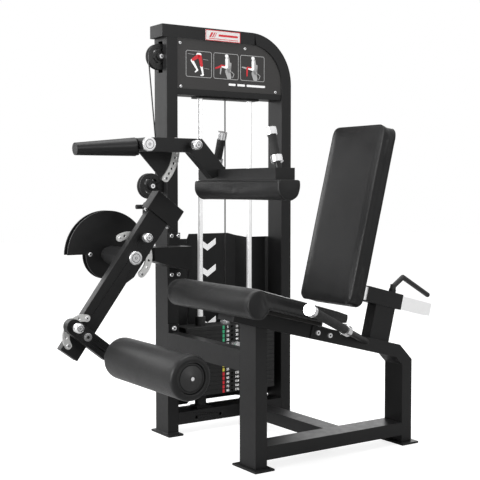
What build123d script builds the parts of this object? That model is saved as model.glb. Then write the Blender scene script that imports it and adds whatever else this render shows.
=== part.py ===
from build123d import *

import math
import os

os.makedirs("parts", exist_ok=True)

# A seated leg extension and leg curl machine with its weight stack.
# Millimetres, +Z up. X runs along the seat (the user faces -X), Y runs from the seat (-Y) to the stack.
# The origin is on the floor, under the middle of the stack tower's left upright.

# ---------------------------------------------------------------- driving dimensions
TUBE_THIN = 50.0  # narrow side of the frame tube
TUBE_DEEP = 100.0  # wide side of the frame tube
WALL = 3.0  # wall of the frame tube
TOWER_HEIGHT = 1650.0
TOWER_SPAN = 566.0  # between the middles of the two uprights
ARCH_RADIUS = 207.0  # outside of the bend at the tower's top corner
SEAT_Y = -616.0  # middle plane of the seat frame
SEAT_POST_SPAN = 698.0  # front post to rear post
BASE_Z = 35.0  # underside of the tubes near the floor
FOOT_THICK = 8.0
SLOPE = math.radians(14.3)  # fall of the seat beam toward the back
BEAM_TOP = 544.0  # top of the seat beam, square to the slope, from the origin

PLATE_COUNT = 16
PLATE_PITCH = 17.8
PLATE_THICK = 17.5
PLATE_WIDTH = 444.0
PLATE_DEPTH = 108.0
STACK_BOTTOM = 147.0
LIFTED_BELOW_TOP = 4  # plates hanging under the top plate with the pin where it is
ROD_SPACING = 246.0
ROD_RADIUS = 11.0

PIVOT_X = -270.0  # knee axis
PIVOT_Z = 742.0
LEVER_ANGLE = math.radians(233.7)  # where the lever points at rest, from +X toward +Z
ARM_PIVOT_U = 347.0  # roller arm's pivot, along the lever from the knee axis
ARM_PIVOT_V = -14.0
ROLLER_REACH = 110.0  # roller arm's pivot to the roller's axis
ROLLER_RADIUS = 75.0
ROLLER_LENGTH = 479.0

HUB_X = -363.0  # axis of the thigh pad's arm
HUB_Z = 1150.0
THIGH_PAD_LENGTH = 528.0
SEAT_WIDTH = 529.0

CABLE_RADIUS = 3.0
SHEAVE_RADIUS = 51.0
SHEAVE_GROOVE = 45.0  # cable's middle on a pulley
DRUM_GROOVE = 85.0  # cable's middle on the cam's drum
CLEARANCE = 0.05  # running clearance of a shaft, on the radius

# ---------------------------------------------------------------- derived places
HALF_THIN = TUBE_THIN / 2
HALF_DEEP = TUBE_DEEP / 2
FRONT_Y = -HALF_DEEP  # front face of the tower
MID_X = TOWER_SPAN / 2
RIGHT_INNER = TOWER_SPAN - HALF_THIN
TOP_TUBE_Z = TOWER_HEIGHT - TUBE_THIN
BOTTOM_TUBE_TOP = BASE_Z + 5 + TUBE_THIN
STACK_TOP = STACK_BOTTOM + PLATE_COUNT * PLATE_PITCH
ROD_XS = (MID_X - ROD_SPACING / 2, MID_X + ROD_SPACING / 2)
REAR_POST_X = SEAT_POST_SPAN
ROLLER_FAR = SEAT_Y + ROLLER_LENGTH / 2
ROLLER_NEAR = SEAT_Y - ROLLER_LENGTH / 2


# ---------------------------------------------------------------- helpers
def write(name, *solids):
    """Writes one node; several solids stay separate."""
    flat = [s for item in solids for s in item.solids()]
    shape = flat[0] if len(flat) == 1 else Compound(children=flat)
    export_step(shape, "parts/" + name + ".step")


def block(x0, x1, y0, y1, z0, z1):
    """Box between limits."""
    box = Box(x1 - x0, y1 - y0, z1 - z0)
    return Pos((x0 + x1) / 2, (y0 + y1) / 2, (z0 + z1) / 2) * box


def tube(x0, x1, y0, y1, z0, z1, along):
    """Rectangular tube with open ends, running along one axis."""
    inset = {"x": (0, WALL, WALL), "y": (WALL, 0, WALL), "z": (WALL, WALL, 0)}[along]
    hollow = block(
        x0 + inset[0], x1 - inset[0],
        y0 + inset[1], y1 - inset[1],
        z0 + inset[2], z1 - inset[2],
    )
    return block(x0, x1, y0, y1, z0, z1) - hollow


def prism(outline, y0, y1):
    """Outline drawn as (x, z), given depth from y0 to y1."""
    plane = Plane(origin=(0, y1, 0), x_dir=(1, 0, 0), z_dir=(0, -1, 0))
    return extrude(plane * outline, amount=y1 - y0, dir=(0, -1, 0))


def plan_prism(outline, z0, z1):
    """Outline drawn as (x, y), given height from z0 to z1."""
    return extrude(Pos(0, 0, z0) * outline, amount=z1 - z0, dir=(0, 0, 1))


def shape_of(points):
    return Polygon(*points, align=None)


def disc(x, z, radius):
    return Pos(x, z) * Circle(radius)


def cylinder_y(x, z, y0, y1, radius):
    return Pos(x, (y0 + y1) / 2, z) * Rot(90, 0, 0) * Cylinder(radius, y1 - y0)


def cylinder_z(x, y, z0, z1, radius):
    return Pos(x, y, (z0 + z1) / 2) * Cylinder(radius, z1 - z0)


def ring_y(x, z, y0, y1, inner, outer):
    return cylinder_y(x, z, y0, y1, outer) - cylinder_y(x, z, y0, y1, inner)


def bar(start, end, radius, end_radius=None):
    """Round bar or taper between two points."""
    a = Vector(*start)
    b = Vector(*end)
    plane = Plane(origin=a, z_dir=b - a)
    length = (b - a).length
    if end_radius is None:
        solid = Cylinder(radius, length)
    else:
        solid = Cone(radius, end_radius, length)
    return plane * (Pos(0, 0, length / 2) * solid)


def wedge(x, z, radius, start, end):
    """Filled sector between two angles in degrees."""
    steps = max(2, math.ceil((end - start) / 30))
    reach = radius / math.cos(math.radians((end - start) / steps / 2))
    points = [(x, z)]
    for k in range(steps + 1):
        angle = math.radians(start + (end - start) * k / steps)
        points.append((x + reach * math.cos(angle), z + reach * math.sin(angle)))
    return shape_of(points) & disc(x, z, radius)


def arc_band(x, z, radius, width, start, end):
    """Curved strip with round ends."""
    band = wedge(x, z, radius + width / 2, start, end) - disc(x, z, radius - width / 2)
    for angle in (start, end):
        band += disc(*around(x, z, radius, angle), width / 2)
    return band


def around(x, z, radius, degrees):
    """Point at an angle from +X toward +Z."""
    angle = math.radians(degrees)
    return x + radius * math.cos(angle), z + radius * math.sin(angle)


def bolt_head_y(x, z, face_y, radius=8.0, height=6.0):
    """Domed bolt head standing off a face that looks along -Y."""
    head = cylinder_y(x, z, face_y - height, face_y, radius)
    socket = cylinder_y(x, z, face_y - height, face_y - height + 3, radius * 0.45)
    rim = head.edges().group_by(Axis.Y)[0]
    return fillet(rim, height * 0.4) - socket


def lever_point(u, v):
    """Point on the lever: u runs down it from the knee axis, v across it."""
    cos_a = math.cos(LEVER_ANGLE)
    sin_a = math.sin(LEVER_ANGLE)
    return PIVOT_X + u * cos_a - v * sin_a, PIVOT_Z + u * sin_a + v * cos_a


def slope_point(b, a):
    """Point in the seat's frame: b runs back along the beam, a stands square to it."""
    cos_s = math.cos(SLOPE)
    sin_s = math.sin(SLOPE)
    return b * cos_s + a * sin_s, a * cos_s - b * sin_s


def slope_box(b0, b1, a0, a1, y0, y1):
    corners = [slope_point(b0, a0), slope_point(b1, a0), slope_point(b1, a1), slope_point(b0, a1)]
    return prism(shape_of(corners), y0, y1)


# ---------------------------------------------------------------- stack tower frame
def left_upright():
    body = tube(-HALF_THIN, HALF_THIN, -HALF_DEEP, HALF_DEEP, FOOT_THICK, TOP_TUBE_Z, "z")
    slot_half = 17.0
    slot = block(-HALF_THIN - 1, 0, -slot_half, slot_half, PULLEY_TOP_Z - 62, PULLEY_TOP_Z + 62)
    cable_hole = block(0, HALF_THIN + 1, -8, 8, PULLEY_TOP_Z + 35, PULLEY_TOP_Z + 60)
    write("left_upright", body - slot - cable_hole)


def arch_outline(inset):
    """Top tube, corner bend and right upright as one outline."""
    outer_x = TOWER_SPAN + HALF_THIN
    centre_x = outer_x - ARCH_RADIUS
    centre_z = TOWER_HEIGHT - ARCH_RADIUS
    outer_r = ARCH_RADIUS - inset
    inner_r = ARCH_RADIUS - TUBE_THIN + inset
    corner = Pos(centre_x, centre_z) * (Circle(outer_r) - Circle(inner_r))
    quarter = Pos(centre_x + 200, centre_z + 200) * Rectangle(400, 400)
    overhang = HALF_THIN + 20
    top = Pos((centre_x - overhang) / 2, TOWER_HEIGHT - TUBE_THIN / 2) * Rectangle(
        centre_x + overhang - 2 * inset * (inset > 0), TUBE_THIN - 2 * inset
    )
    right_height = centre_z - FOOT_THICK
    right = Pos(TOWER_SPAN, FOOT_THICK + right_height / 2) * Rectangle(
        TUBE_THIN - 2 * inset, right_height
    )
    return (corner & quarter) + top + right


def arch_tube():
    outside = prism(arch_outline(0), -HALF_DEEP, HALF_DEEP)
    inside = prism(arch_outline(WALL), -HALF_DEEP + WALL, HALF_DEEP - WALL)
    write("arch_tube", outside - inside)


def bottom_tube():
    z0 = BOTTOM_TUBE_TOP - TUBE_THIN
    body = tube(HALF_THIN, RIGHT_INNER, -HALF_DEEP, HALF_DEEP, z0, BOTTOM_TUBE_TOP, "x")
    for x in (110, 227):
        body -= cylinder_y(x, z0 + 21, -HALF_DEEP - 1, -HALF_DEEP + WALL + 1, 6)
    return body


CROSSBAR_TOP = 1400.0
CROSSBAR_BOTTOM = 1376.0
PANEL_BACK = -42.0


def crossbar():
    """Flat tube under the placard; the cable passes through it."""
    body = block(HALF_THIN, RIGHT_INNER, -45, 45, CROSSBAR_BOTTOM, CROSSBAR_TOP)
    body -= block(HALF_THIN, RIGHT_INNER, -42, 42, CROSSBAR_BOTTOM + 3, CROSSBAR_TOP - 3)
    return body - cylinder_z(MID_X, 0, CROSSBAR_BOTTOM - 1, CROSSBAR_TOP + 1, 10)


def rod_top_bracket():
    plate = block(136, 436, -30, 30, CROSSBAR_BOTTOM - 8, CROSSBAR_BOTTOM)
    return plate - cylinder_z(MID_X, 0, CROSSBAR_BOTTOM - 9, CROSSBAR_BOTTOM + 1, 10)


def tower_cross_members():
    """Pieces welded to the uprights: cross members, guide rod plates and pulley ears."""
    feet = [
        block(x - 32, x + 32, -32, 32, BOTTOM_TUBE_TOP, BOTTOM_TUBE_TOP + 8) for x in ROD_XS
    ]
    members = [bottom_tube(), crossbar(), rod_top_bracket()]
    write("tower_cross_members", *members, *feet, *pulley_ears())


def placard_outline(inset):
    """Fills the arch opening above the crossbar, following the bend."""
    centre_x = TOWER_SPAN + HALF_THIN - ARCH_RADIUS
    centre_z = TOWER_HEIGHT - ARCH_RADIUS
    radius = ARCH_RADIUS - TUBE_THIN - inset
    left = HALF_THIN + inset
    right = RIGHT_INNER - inset
    bottom = CROSSBAR_TOP
    top = TOP_TUBE_Z - inset
    field = shape_of([(left, bottom), (right, bottom), (right, top), (left, top)])
    corner_box = Pos(centre_x + 200, centre_z + 200) * Rectangle(400, 400)
    return field - (corner_box - disc(centre_x, centre_z, radius))


def placard_panel():
    write("placard_panel", prism(placard_outline(1), PANEL_BACK - 3, PANEL_BACK))


PLACARD_SCREWS = ((38, 1581), (352, 1581), (41, 1409), (509, 1409))


def placard_screws():
    return [bolt_head_y(x, z, PANEL_BACK - 3, 6, 4) for x, z in PLACARD_SCREWS]


def badge_plate():
    badge = block(156, 325, FRONT_Y - 2, FRONT_Y, TOP_TUBE_Z + 1, TOP_TUBE_Z + 44)
    write("badge_plate", badge)


def rear_shroud():
    """Bent sheet behind the stack: side flanges, a step and a bulge with a raised top edge."""
    sheet = 2.0
    flange_y = HALF_DEEP
    step_y = HALF_DEEP + 12
    bulge_y = HALF_DEEP + 50
    half_span = MID_X + 18
    half_step = MID_X - HALF_THIN - 8
    half_bulge = 150.0
    half_crown = 118.0
    z0 = BOTTOM_TUBE_TOP + 4
    crown = 18.0
    top = 790.0

    run = [
        (-half_span, flange_y), (-half_step - 10, flange_y), (-half_step, step_y),
        (-half_bulge, step_y), (-half_crown, bulge_y), (half_crown, bulge_y),
        (half_bulge, step_y), (half_step, step_y), (half_step + 10, flange_y), (half_span, flange_y),
    ]
    front = [(MID_X + x, y) for x, y in run]
    back = [(MID_X + x, y + sheet) for x, y in reversed(run)]
    body = plan_prism(shape_of(front + back), z0, top + crown)
    left = MID_X - half_span - 1
    right = MID_X + half_span + 1
    trim = shape_of(
        [
            (left, top), (MID_X - half_bulge, top), (MID_X - half_crown, top + crown),
            (MID_X + half_crown - 40, top + crown), (MID_X + half_bulge, top), (right, top),
            (right, top + 2 * crown), (left, top + 2 * crown),
        ]
    )
    write("rear_shroud", body - prism(trim, flange_y - 1, bulge_y + sheet + 1))


def rear_shroud_bolts():
    heads = []
    for x in (0.0, TOWER_SPAN):
        for z in (140.0, 450.0, 755.0):
            heads.append(cylinder_y(x, z, HALF_DEEP + 2, HALF_DEEP + 8, 8))
    return heads


# ---------------------------------------------------------------- seat frame
def foot_plates():
    plates = []
    for x, y, half_x in ((0, 0, 34), (TOWER_SPAN, 0, 34), (0, SEAT_Y, 42), (REAR_POST_X, SEAT_Y, 42)):
        plates.append(block(x - half_x, x + half_x, y - 74, y + 74, 0, FOOT_THICK))
    write("foot_plates", *plates)


def beam_z(x, a):
    """Height above the floor of a line parallel to the beam."""
    return (a - x * math.sin(SLOPE)) / math.cos(SLOPE)


BEAM_FRONT_B = -250.0


def seat_beam_outline():
    """Sloping beam that turns down into the rear post through a short chamfer."""
    back = REAR_POST_X + HALF_THIN
    inner = REAR_POST_X - HALF_THIN
    top_a = BEAM_TOP
    low_a = BEAM_TOP - TUBE_THIN
    chamfer = 62.0
    return shape_of(
        [
            slope_point(BEAM_FRONT_B, top_a),
            (back - chamfer, beam_z(back - chamfer, top_a)),
            (back, beam_z(back - chamfer, top_a) - chamfer),
            (back, FOOT_THICK),
            (inner, FOOT_THICK),
            (inner, beam_z(inner - 34, low_a) - 34),
            (inner - 34, beam_z(inner - 34, low_a)),
            slope_point(BEAM_FRONT_B, low_a),
        ]
    )


def sloping_beam():
    outline = seat_beam_outline()
    hollow = offset(outline, amount=-WALL, kind=Kind.INTERSECTION)
    outside = prism(outline, SEAT_Y - HALF_DEEP, SEAT_Y + HALF_DEEP)
    inside = prism(hollow, SEAT_Y - HALF_DEEP + WALL, SEAT_Y + HALF_DEEP - WALL)
    return outside - inside


def front_post():
    low_a = BEAM_TOP - TUBE_THIN
    outline = shape_of(
        [
            (-HALF_THIN, FOOT_THICK),
            (HALF_THIN, FOOT_THICK),
            (HALF_THIN, beam_z(HALF_THIN, low_a)),
            (-HALF_THIN, beam_z(-HALF_THIN, low_a)),
        ]
    )
    outside = prism(outline, SEAT_Y - HALF_DEEP, SEAT_Y + HALF_DEEP)
    core = block(
        -HALF_THIN + WALL, HALF_THIN - WALL,
        SEAT_Y - HALF_DEEP + WALL, SEAT_Y + HALF_DEEP - WALL,
        0, BEAM_TOP + 50,
    )
    return outside - core


def seat_frame():
    """Sloping beam with the rear post, the front post under it and the seat's side plates."""
    write("seat_frame", sloping_beam(), front_post(), *seat_bracket_plates())


def seat_base_tube():
    return tube(
        HALF_THIN, REAR_POST_X - HALF_THIN,
        SEAT_Y - HALF_DEEP, SEAT_Y + HALF_DEEP,
        BASE_Z, BASE_Z + TUBE_THIN, "x",
    )


LINK_LOW = 345.0
LINK_HIGH = 421.0


def link_beam():
    """Joins the tower to the seat frame, with the flange that bolts it to the tower."""
    near = SEAT_Y + HALF_DEEP
    body = tube(-HALF_THIN, HALF_THIN, near, FRONT_Y - 6, LINK_LOW, LINK_HIGH, "y")
    flange = block(-HALF_THIN, HALF_THIN, FRONT_Y - 6, FRONT_Y, LINK_LOW - 34, LINK_HIGH + 34)
    write("link_beam", body + flange)


def floor_tubes():
    """Tube along the seat at the floor, and the one from it to the tower."""
    link = tube(360, 436, SEAT_Y + HALF_DEEP, FRONT_Y, BASE_Z, BASE_Z + TUBE_THIN, "y")
    write("floor_tubes", seat_base_tube(), link)


def frame_bolts():
    heads = []
    for z in (LINK_LOW - 17, LINK_HIGH + 17):
        heads.append(bolt_head_y(0, z, FRONT_Y - 6, 10, 8))
    for x in (-12, 20):
        for z in (BRACKET_LOW + 12, BRACKET_HIGH - 12):
            heads.append(bolt_head_y(x, z, FRONT_Y - 8, 8, 7))
    for x in (-14, 14):
        for z in (HUB_Z - 36, HUB_Z + 36):
            heads.append(bolt_head_y(x, z, FRONT_Y - 6, 6, 5))
    heads += placard_screws() + rear_shroud_bolts() + seat_bracket_bolts() + [thigh_index_bolt()]
    heads += pulley_axles()
    write("frame_bolts", *heads)


# ---------------------------------------------------------------- weight stack
def guide_rods():
    top = CROSSBAR_BOTTOM - 8
    rods = [cylinder_z(x, 0, BOTTOM_TUBE_TOP + 8, top, ROD_RADIUS) for x in ROD_XS]
    write("guide_rods", *rods)


def stack_bumpers():
    low = BOTTOM_TUBE_TOP + 8
    rings = []
    for x in ROD_XS:
        ring = cylinder_z(x, 0, low, STACK_BOTTOM, 24)
        rings.append(ring - cylinder_z(x, 0, low, STACK_BOTTOM, ROD_RADIUS + 0.5))
    return rings


STEM_RADIUS = 11.0
PIN_RADIUS = 4.5


def plate_bottom(index):
    """Underside of a plate, counted from 0 at the top of the stack."""
    return STACK_TOP - (index + 1) * PLATE_PITCH


def weight_plate(index):
    z0 = plate_bottom(index)
    z1 = z0 + PLATE_THICK
    middle = (z0 + z1) / 2
    half = PLATE_WIDTH / 2
    body = block(MID_X - half, MID_X + half, -PLATE_DEPTH / 2, PLATE_DEPTH / 2, z0, z1)
    body = chamfer(body.edges().filter_by(Axis.Z), 6)
    for x in ROD_XS:
        body -= cylinder_z(x, 0, z0 - 1, z1 + 1, ROD_RADIUS + 2)
    body -= cylinder_z(MID_X, 0, z0 - 1, z1 + 1, STEM_RADIUS + 1)
    body -= cylinder_y(MID_X, middle, -PLATE_DEPTH / 2 - 1, 0, PIN_RADIUS + 0.6)
    return body


def top_plate():
    write("top_plate", weight_plate(0))


def lifted_plates():
    write("lifted_plates", *[weight_plate(k) for k in range(1, 1 + LIFTED_BELOW_TOP)])


def resting_plates():
    write("resting_plates", *[weight_plate(k) for k in range(1 + LIFTED_BELOW_TOP, PLATE_COUNT)])


SLEEVE_HEIGHT = 38.0
TOP_FACE = STACK_TOP - PLATE_PITCH + PLATE_THICK


def guide_sleeves():
    """Plastic guides that run on the rods, standing on the top plate."""
    sleeves = []
    for x in ROD_XS:
        outer = cylinder_z(x, 0, TOP_FACE, TOP_FACE + SLEEVE_HEIGHT, 21)
        bore = cylinder_z(x, 0, TOP_FACE - 1, TOP_FACE + SLEEVE_HEIGHT + 1, ROD_RADIUS + CLEARANCE)
        sleeves.append(outer - bore)
    write("guide_sleeves", *sleeves)


STEM_TOP = TOP_FACE + 34.0


def selector_stem():
    body = cylinder_z(MID_X, 0, STACK_BOTTOM + 6, STEM_TOP, STEM_RADIUS)
    collar = cylinder_z(MID_X, 0, TOP_FACE, TOP_FACE + 12, 19)
    body += collar
    for index in range(PLATE_COUNT):
        middle = plate_bottom(index) + PLATE_THICK / 2
        body -= cylinder_y(MID_X, middle, -STEM_RADIUS - 1, STEM_RADIUS + 1, PIN_RADIUS + 0.6)
    write("selector_stem", body)


def selector_pin():
    """Pin with its round head, pushed in under the last lifted plate's number."""
    z = plate_bottom(LIFTED_BELOW_TOP) + PLATE_THICK / 2
    face = -PLATE_DEPTH / 2
    shank = cylinder_y(MID_X, z, face - 2, 6, PIN_RADIUS)
    head = cylinder_y(MID_X, z, face - 30, face - 2, 8)
    grip = cylinder_y(MID_X, z, face - 44, face - 30, 13)
    write("selector_pin", shank + head + grip)


# ---------------------------------------------------------------- cable and pulleys
PULLEY_TOP_X = -35.0
PULLEY_TOP_Z = 1524.0
PULLEY_MID_X = MID_X - SHEAVE_GROOVE
PULLEY_LOW_X = -77.0
PULLEY_LOW_Z = 1009.0
SHEAVE_HALF = 13.0
EAR_INNER = 16.0
EAR_OUTER = 22.0
AXLE_RADIUS = 6.0
AXLE_HEAD = 9.0


def sheave(x, z):
    """Grooved wheel with four curved windows."""
    half_width = SHEAVE_HALF
    profile = Polygon(
        (AXLE_RADIUS + CLEARANCE, -half_width), (SHEAVE_RADIUS, -half_width),
        (SHEAVE_RADIUS, -half_width + 4), (SHEAVE_GROOVE - 3, -3.2), (SHEAVE_GROOVE - 3, 3.2),
        (SHEAVE_RADIUS, half_width - 4), (SHEAVE_RADIUS, half_width), (AXLE_RADIUS + CLEARANCE, half_width),
        align=None,
    )
    wheel = revolve(Plane.XZ * profile, Axis.Z)
    wheel = Pos(x, 0, z) * Rot(90, 0, 0) * wheel
    for start in (20, 110, 200, 290):
        window = arc_band(x, z, 29, 8, start, start + 50)
        wheel -= prism(window, -half_width - 1, half_width + 1)
    return wheel


def pulleys():
    write("pulley_top_left", sheave(PULLEY_TOP_X, PULLEY_TOP_Z))
    write("pulley_top_middle", sheave(PULLEY_MID_X, PULLEY_TOP_Z))
    write("pulley_lower", sheave(PULLEY_LOW_X, PULLEY_LOW_Z))


PULLEY_PLACES = (
    (PULLEY_TOP_X, PULLEY_TOP_Z),
    (PULLEY_MID_X, PULLEY_TOP_Z),
    (PULLEY_LOW_X, PULLEY_LOW_Z),
)
EAR_HALF = 15.0


def ear_outlines():
    """Side view of each pulley's ears: left and lower ones on the upright, one under the top tube."""
    outlines = []
    for x, z, root_half in ((*PULLEY_PLACES[0], EAR_HALF), (*PULLEY_PLACES[2], 24)):
        web = [
            (x, z - EAR_HALF), (-HALF_THIN, z - root_half),
            (-HALF_THIN, z + root_half), (x, z + EAR_HALF),
        ]
        outlines.append(disc(x, z, EAR_HALF) + shape_of(web))
    x, z = PULLEY_PLACES[1]
    hanger = [
        (x - EAR_HALF, z), (x + EAR_HALF, z),
        (x + EAR_HALF, TOP_TUBE_Z), (x - EAR_HALF, TOP_TUBE_Z),
    ]
    outlines.append(disc(x, z, EAR_HALF) + shape_of(hanger))
    return outlines


def pulley_ears():
    """Pairs of ears that carry the three pulleys."""
    ears = []
    upright = block(-HALF_THIN, HALF_THIN, -60, 60, PULLEY_LOW_Z - 100, TOP_TUBE_Z)
    for outline in ear_outlines():
        for y0, y1 in ((-EAR_OUTER, -EAR_INNER), (EAR_INNER, EAR_OUTER)):
            ear = prism(outline, y0, y1) - upright
            for x, z in PULLEY_PLACES:
                ear -= cylinder_y(x, z, -40, 40, AXLE_RADIUS)
            ears.append(ear)
    return ears


def pulley_axles():
    """Bolts that the pulleys turn on, each with a head and a nut."""
    axles = []
    for x, z in PULLEY_PLACES:
        shank = cylinder_y(x, z, -EAR_OUTER, EAR_OUTER, AXLE_RADIUS)
        head = cylinder_y(x, z, -EAR_OUTER - 7, -EAR_OUTER, AXLE_HEAD)
        nut = cylinder_y(x, z, EAR_OUTER, EAR_OUTER + 7, AXLE_HEAD)
        axles.append(shank + head + nut)
    return axles


def tangent_normal(x0, z0, r0, x1, z1, r1):
    """Unit normal of the line that touches both circles on their +X side."""
    dx = x1 - x0
    dz = z1 - z0
    length = math.hypot(dx, dz)
    along = (r0 - r1) / length
    across = math.sqrt(1 - along * along)
    nx = (along * dx - across * dz) / length
    nz = (along * dz + across * dx) / length
    return nx, nz


def cable_run():
    """Cable that stays in place: top pulley, left pulley, lower pulley, then the drum."""
    top_z = PULLEY_TOP_Z + SHEAVE_GROOVE
    nx, nz = tangent_normal(
        PULLEY_LOW_X, PULLEY_LOW_Z, SHEAVE_GROOVE, PIVOT_X, PIVOT_Z, DRUM_GROOVE
    )
    drum_end = (PIVOT_X + DRUM_GROOVE * nx, PIVOT_Z + DRUM_GROOVE * nz)
    low_end = (PULLEY_LOW_X + SHEAVE_GROOVE * nx, PULLEY_LOW_Z + SHEAVE_GROOVE * nz)
    # Between the left pulley and the lower one the cable crosses from left to right.
    dx = PULLEY_LOW_X - PULLEY_TOP_X
    dz = PULLEY_LOW_Z - PULLEY_TOP_Z
    gap = math.hypot(dx, dz)
    cross = 2 * SHEAVE_GROOVE / gap
    base = math.atan2(dz, dx)
    swing = math.acos(cross)
    leave = base - swing
    start = (PULLEY_TOP_X + SHEAVE_GROOVE * math.cos(leave), PULLEY_TOP_Z + SHEAVE_GROOVE * math.sin(leave))
    meet = (PULLEY_LOW_X - SHEAVE_GROOVE * math.cos(leave), PULLEY_LOW_Z - SHEAVE_GROOVE * math.sin(leave))
    high_mid = around(PULLEY_MID_X, PULLEY_TOP_Z, SHEAVE_GROOVE, 45)
    high_left = around(PULLEY_TOP_X, PULLEY_TOP_Z, SHEAVE_GROOVE, (90 + math.degrees(leave) % 360) / 2)
    low_side = math.degrees(math.atan2(nz, nx))
    meet_side = math.degrees(leave) + 180
    low_mid = around(PULLEY_LOW_X, PULLEY_LOW_Z, SHEAVE_GROOVE, (low_side + (meet_side + 180) % 360 - 180) / 2)

    def at(point):
        return (point[0], 0, point[1])

    path = (
        ThreePointArc(at((MID_X, PULLEY_TOP_Z)), at(high_mid), at((PULLEY_MID_X, top_z)))
        + Line(at((PULLEY_MID_X, top_z)), at((PULLEY_TOP_X, top_z)))
        + ThreePointArc(at((PULLEY_TOP_X, top_z)), at(high_left), at(start))
        + Line(at(start), at(meet))
        + ThreePointArc(at(meet), at(low_mid), at(low_end))
        + Line(at(low_end), at(drum_end))
    )
    wire = Wire(path.edges())
    section = Plane(origin=(MID_X, 0, PULLEY_TOP_Z), z_dir=(0, 0, 1)) * Circle(CABLE_RADIUS - 0.2)
    write("cable_run", sweep(section, path=wire))


def stack_cable():
    """Straight length over the stack; it grows shorter as the stack rises."""
    write("stack_cable", cylinder_z(MID_X, 0, STEM_TOP, PULLEY_TOP_Z, CABLE_RADIUS - 0.2))


# ---------------------------------------------------------------- knee pivot
BRACKET_LOW = 643.0
BRACKET_HIGH = 822.0
BRACKET_FRONT = -155.0
HOUSING_FRONT = -176.0
HOUSING_BACK = -45.0
HOUSING_RADIUS = 36.0
SHAFT_RADIUS = 15.0
LEVER_FRONT = -234.0
LEVER_BACK = -200.0


def pivot_bracket():
    """Flange on the tower, tapered box arm and the bearing housing it carries."""
    flange = block(-22, 30, FRONT_Y - 8, FRONT_Y, BRACKET_LOW, BRACKET_HIGH)
    side = shape_of([(26, 772), (-140, 772), (-140, 719), (-32, 687), (26, 676)])
    hollow = offset(side, amount=-5, kind=Kind.INTERSECTION)
    box = prism(side, BRACKET_FRONT, FRONT_Y - 8) - prism(hollow, BRACKET_FRONT + 5, FRONT_Y - 8)
    neck = block(PIVOT_X, -140, BRACKET_FRONT + 18, BRACKET_FRONT + 60, 720, 766)
    housing = cylinder_y(PIVOT_X, PIVOT_Z, HOUSING_FRONT, HOUSING_BACK, HOUSING_RADIUS)
    bore = cylinder_y(PIVOT_X, PIVOT_Z, HOUSING_FRONT - 1, HOUSING_BACK + 1, HOUSING_RADIUS - 6)
    ear = prism(stop_ear_outline(), STOP_EAR_FRONT, STOP_EAR_FRONT + 10)
    ear -= cylinder_y(PIVOT_X, PIVOT_Z, HOUSING_FRONT - 1, HOUSING_BACK, HOUSING_RADIUS)
    write("pivot_bracket", flange + box + (neck + housing - bore) + ear)


def pivot_bearings():
    rings = []
    for y0 in (HOUSING_FRONT, HOUSING_BACK - 20):
        rings.append(ring_y(PIVOT_X, PIVOT_Z, y0, y0 + 20, SHAFT_RADIUS + CLEARANCE, HOUSING_RADIUS - 6))
    write("pivot_bearings", *rings)


CAM_RADIUS = 172.0
CAM_SMALL = 95.0
CAM_HALF = 18.0
CAM_SHEET = 6.0


def pivot_shaft():
    """Shaft through the housing, with the domed cap on its front end."""
    shaft = cylinder_y(PIVOT_X, PIVOT_Z, LEVER_FRONT - 2, 30, SHAFT_RADIUS)
    write("pivot_shaft", shaft + domed_cap(PIVOT_X, PIVOT_Z, LEVER_FRONT - 2, 26, 10))


def cam_outline():
    """Upper half disc joined to a smaller full disc."""
    upper = disc(PIVOT_X, PIVOT_Z, CAM_RADIUS) & (
        Pos(PIVOT_X, PIVOT_Z + 4 + CAM_RADIUS / 2) * Rectangle(2 * CAM_RADIUS + 2, CAM_RADIUS)
    )
    return upper + disc(PIVOT_X, PIVOT_Z, CAM_SMALL)


def cam():
    """Two cam plates with the cable drum between them and a hub in front."""
    outline = cam_outline() - disc(PIVOT_X, PIVOT_Z, SHAFT_RADIUS)
    front = prism(outline, -CAM_HALF, -CAM_HALF + CAM_SHEET)
    back = prism(outline, CAM_HALF - CAM_SHEET, CAM_HALF)
    drum = ring_y(PIVOT_X, PIVOT_Z, -CAM_HALF + CAM_SHEET, CAM_HALF - CAM_SHEET, SHAFT_RADIUS, DRUM_GROOVE - 3)
    hub = ring_y(PIVOT_X, PIVOT_Z, -CAM_HALF - 25, -CAM_HALF, SHAFT_RADIUS, 30)
    write("cam", front + back + drum + hub)


def drum_touch_angle():
    """Angle on the drum where the cable leaves it, in degrees."""
    nx, nz = tangent_normal(
        PULLEY_LOW_X, PULLEY_LOW_Z, SHEAVE_GROOVE, PIVOT_X, PIVOT_Z, DRUM_GROOVE
    )
    return math.degrees(math.atan2(nz, nx))


def drum_cable():
    """Cable lying in the drum's groove, from where it touches to its anchor."""
    start = drum_touch_angle() - 0.5
    inner = DRUM_GROOVE - CABLE_RADIUS + 0.2
    outer = DRUM_GROOVE + CABLE_RADIUS - 0.2
    lying = wedge(PIVOT_X, PIVOT_Z, outer, start - 200, start) - disc(PIVOT_X, PIVOT_Z, inner)
    write("drum_cable", prism(lying, -CABLE_RADIUS + 0.2, CABLE_RADIUS - 0.2))


def cam_bolts():
    x, z = around(PIVOT_X, PIVOT_Z, 79, 177)
    heads = [bolt_head_y(x, z, -CAM_HALF, 8, 7)]
    for angle in START_BOLT_ANGLES:
        bx, bz = around(PIVOT_X, PIVOT_Z, START_RADIUS, angle)
        heads.append(bolt_head_y(bx, bz, START_FRONT, 7, 3))
    write("cam_bolts", *heads)


START_RADIUS = 83.0
START_ANGLE = 66.0
START_STEP = 19.0
START_FRONT = -194.0
START_BACK = -186.0
START_BOLT_ANGLES = (-52.0, 118.0)
POP_PIN_RADIUS = 5.0
INDEX_WIDTH = 27.0


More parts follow.
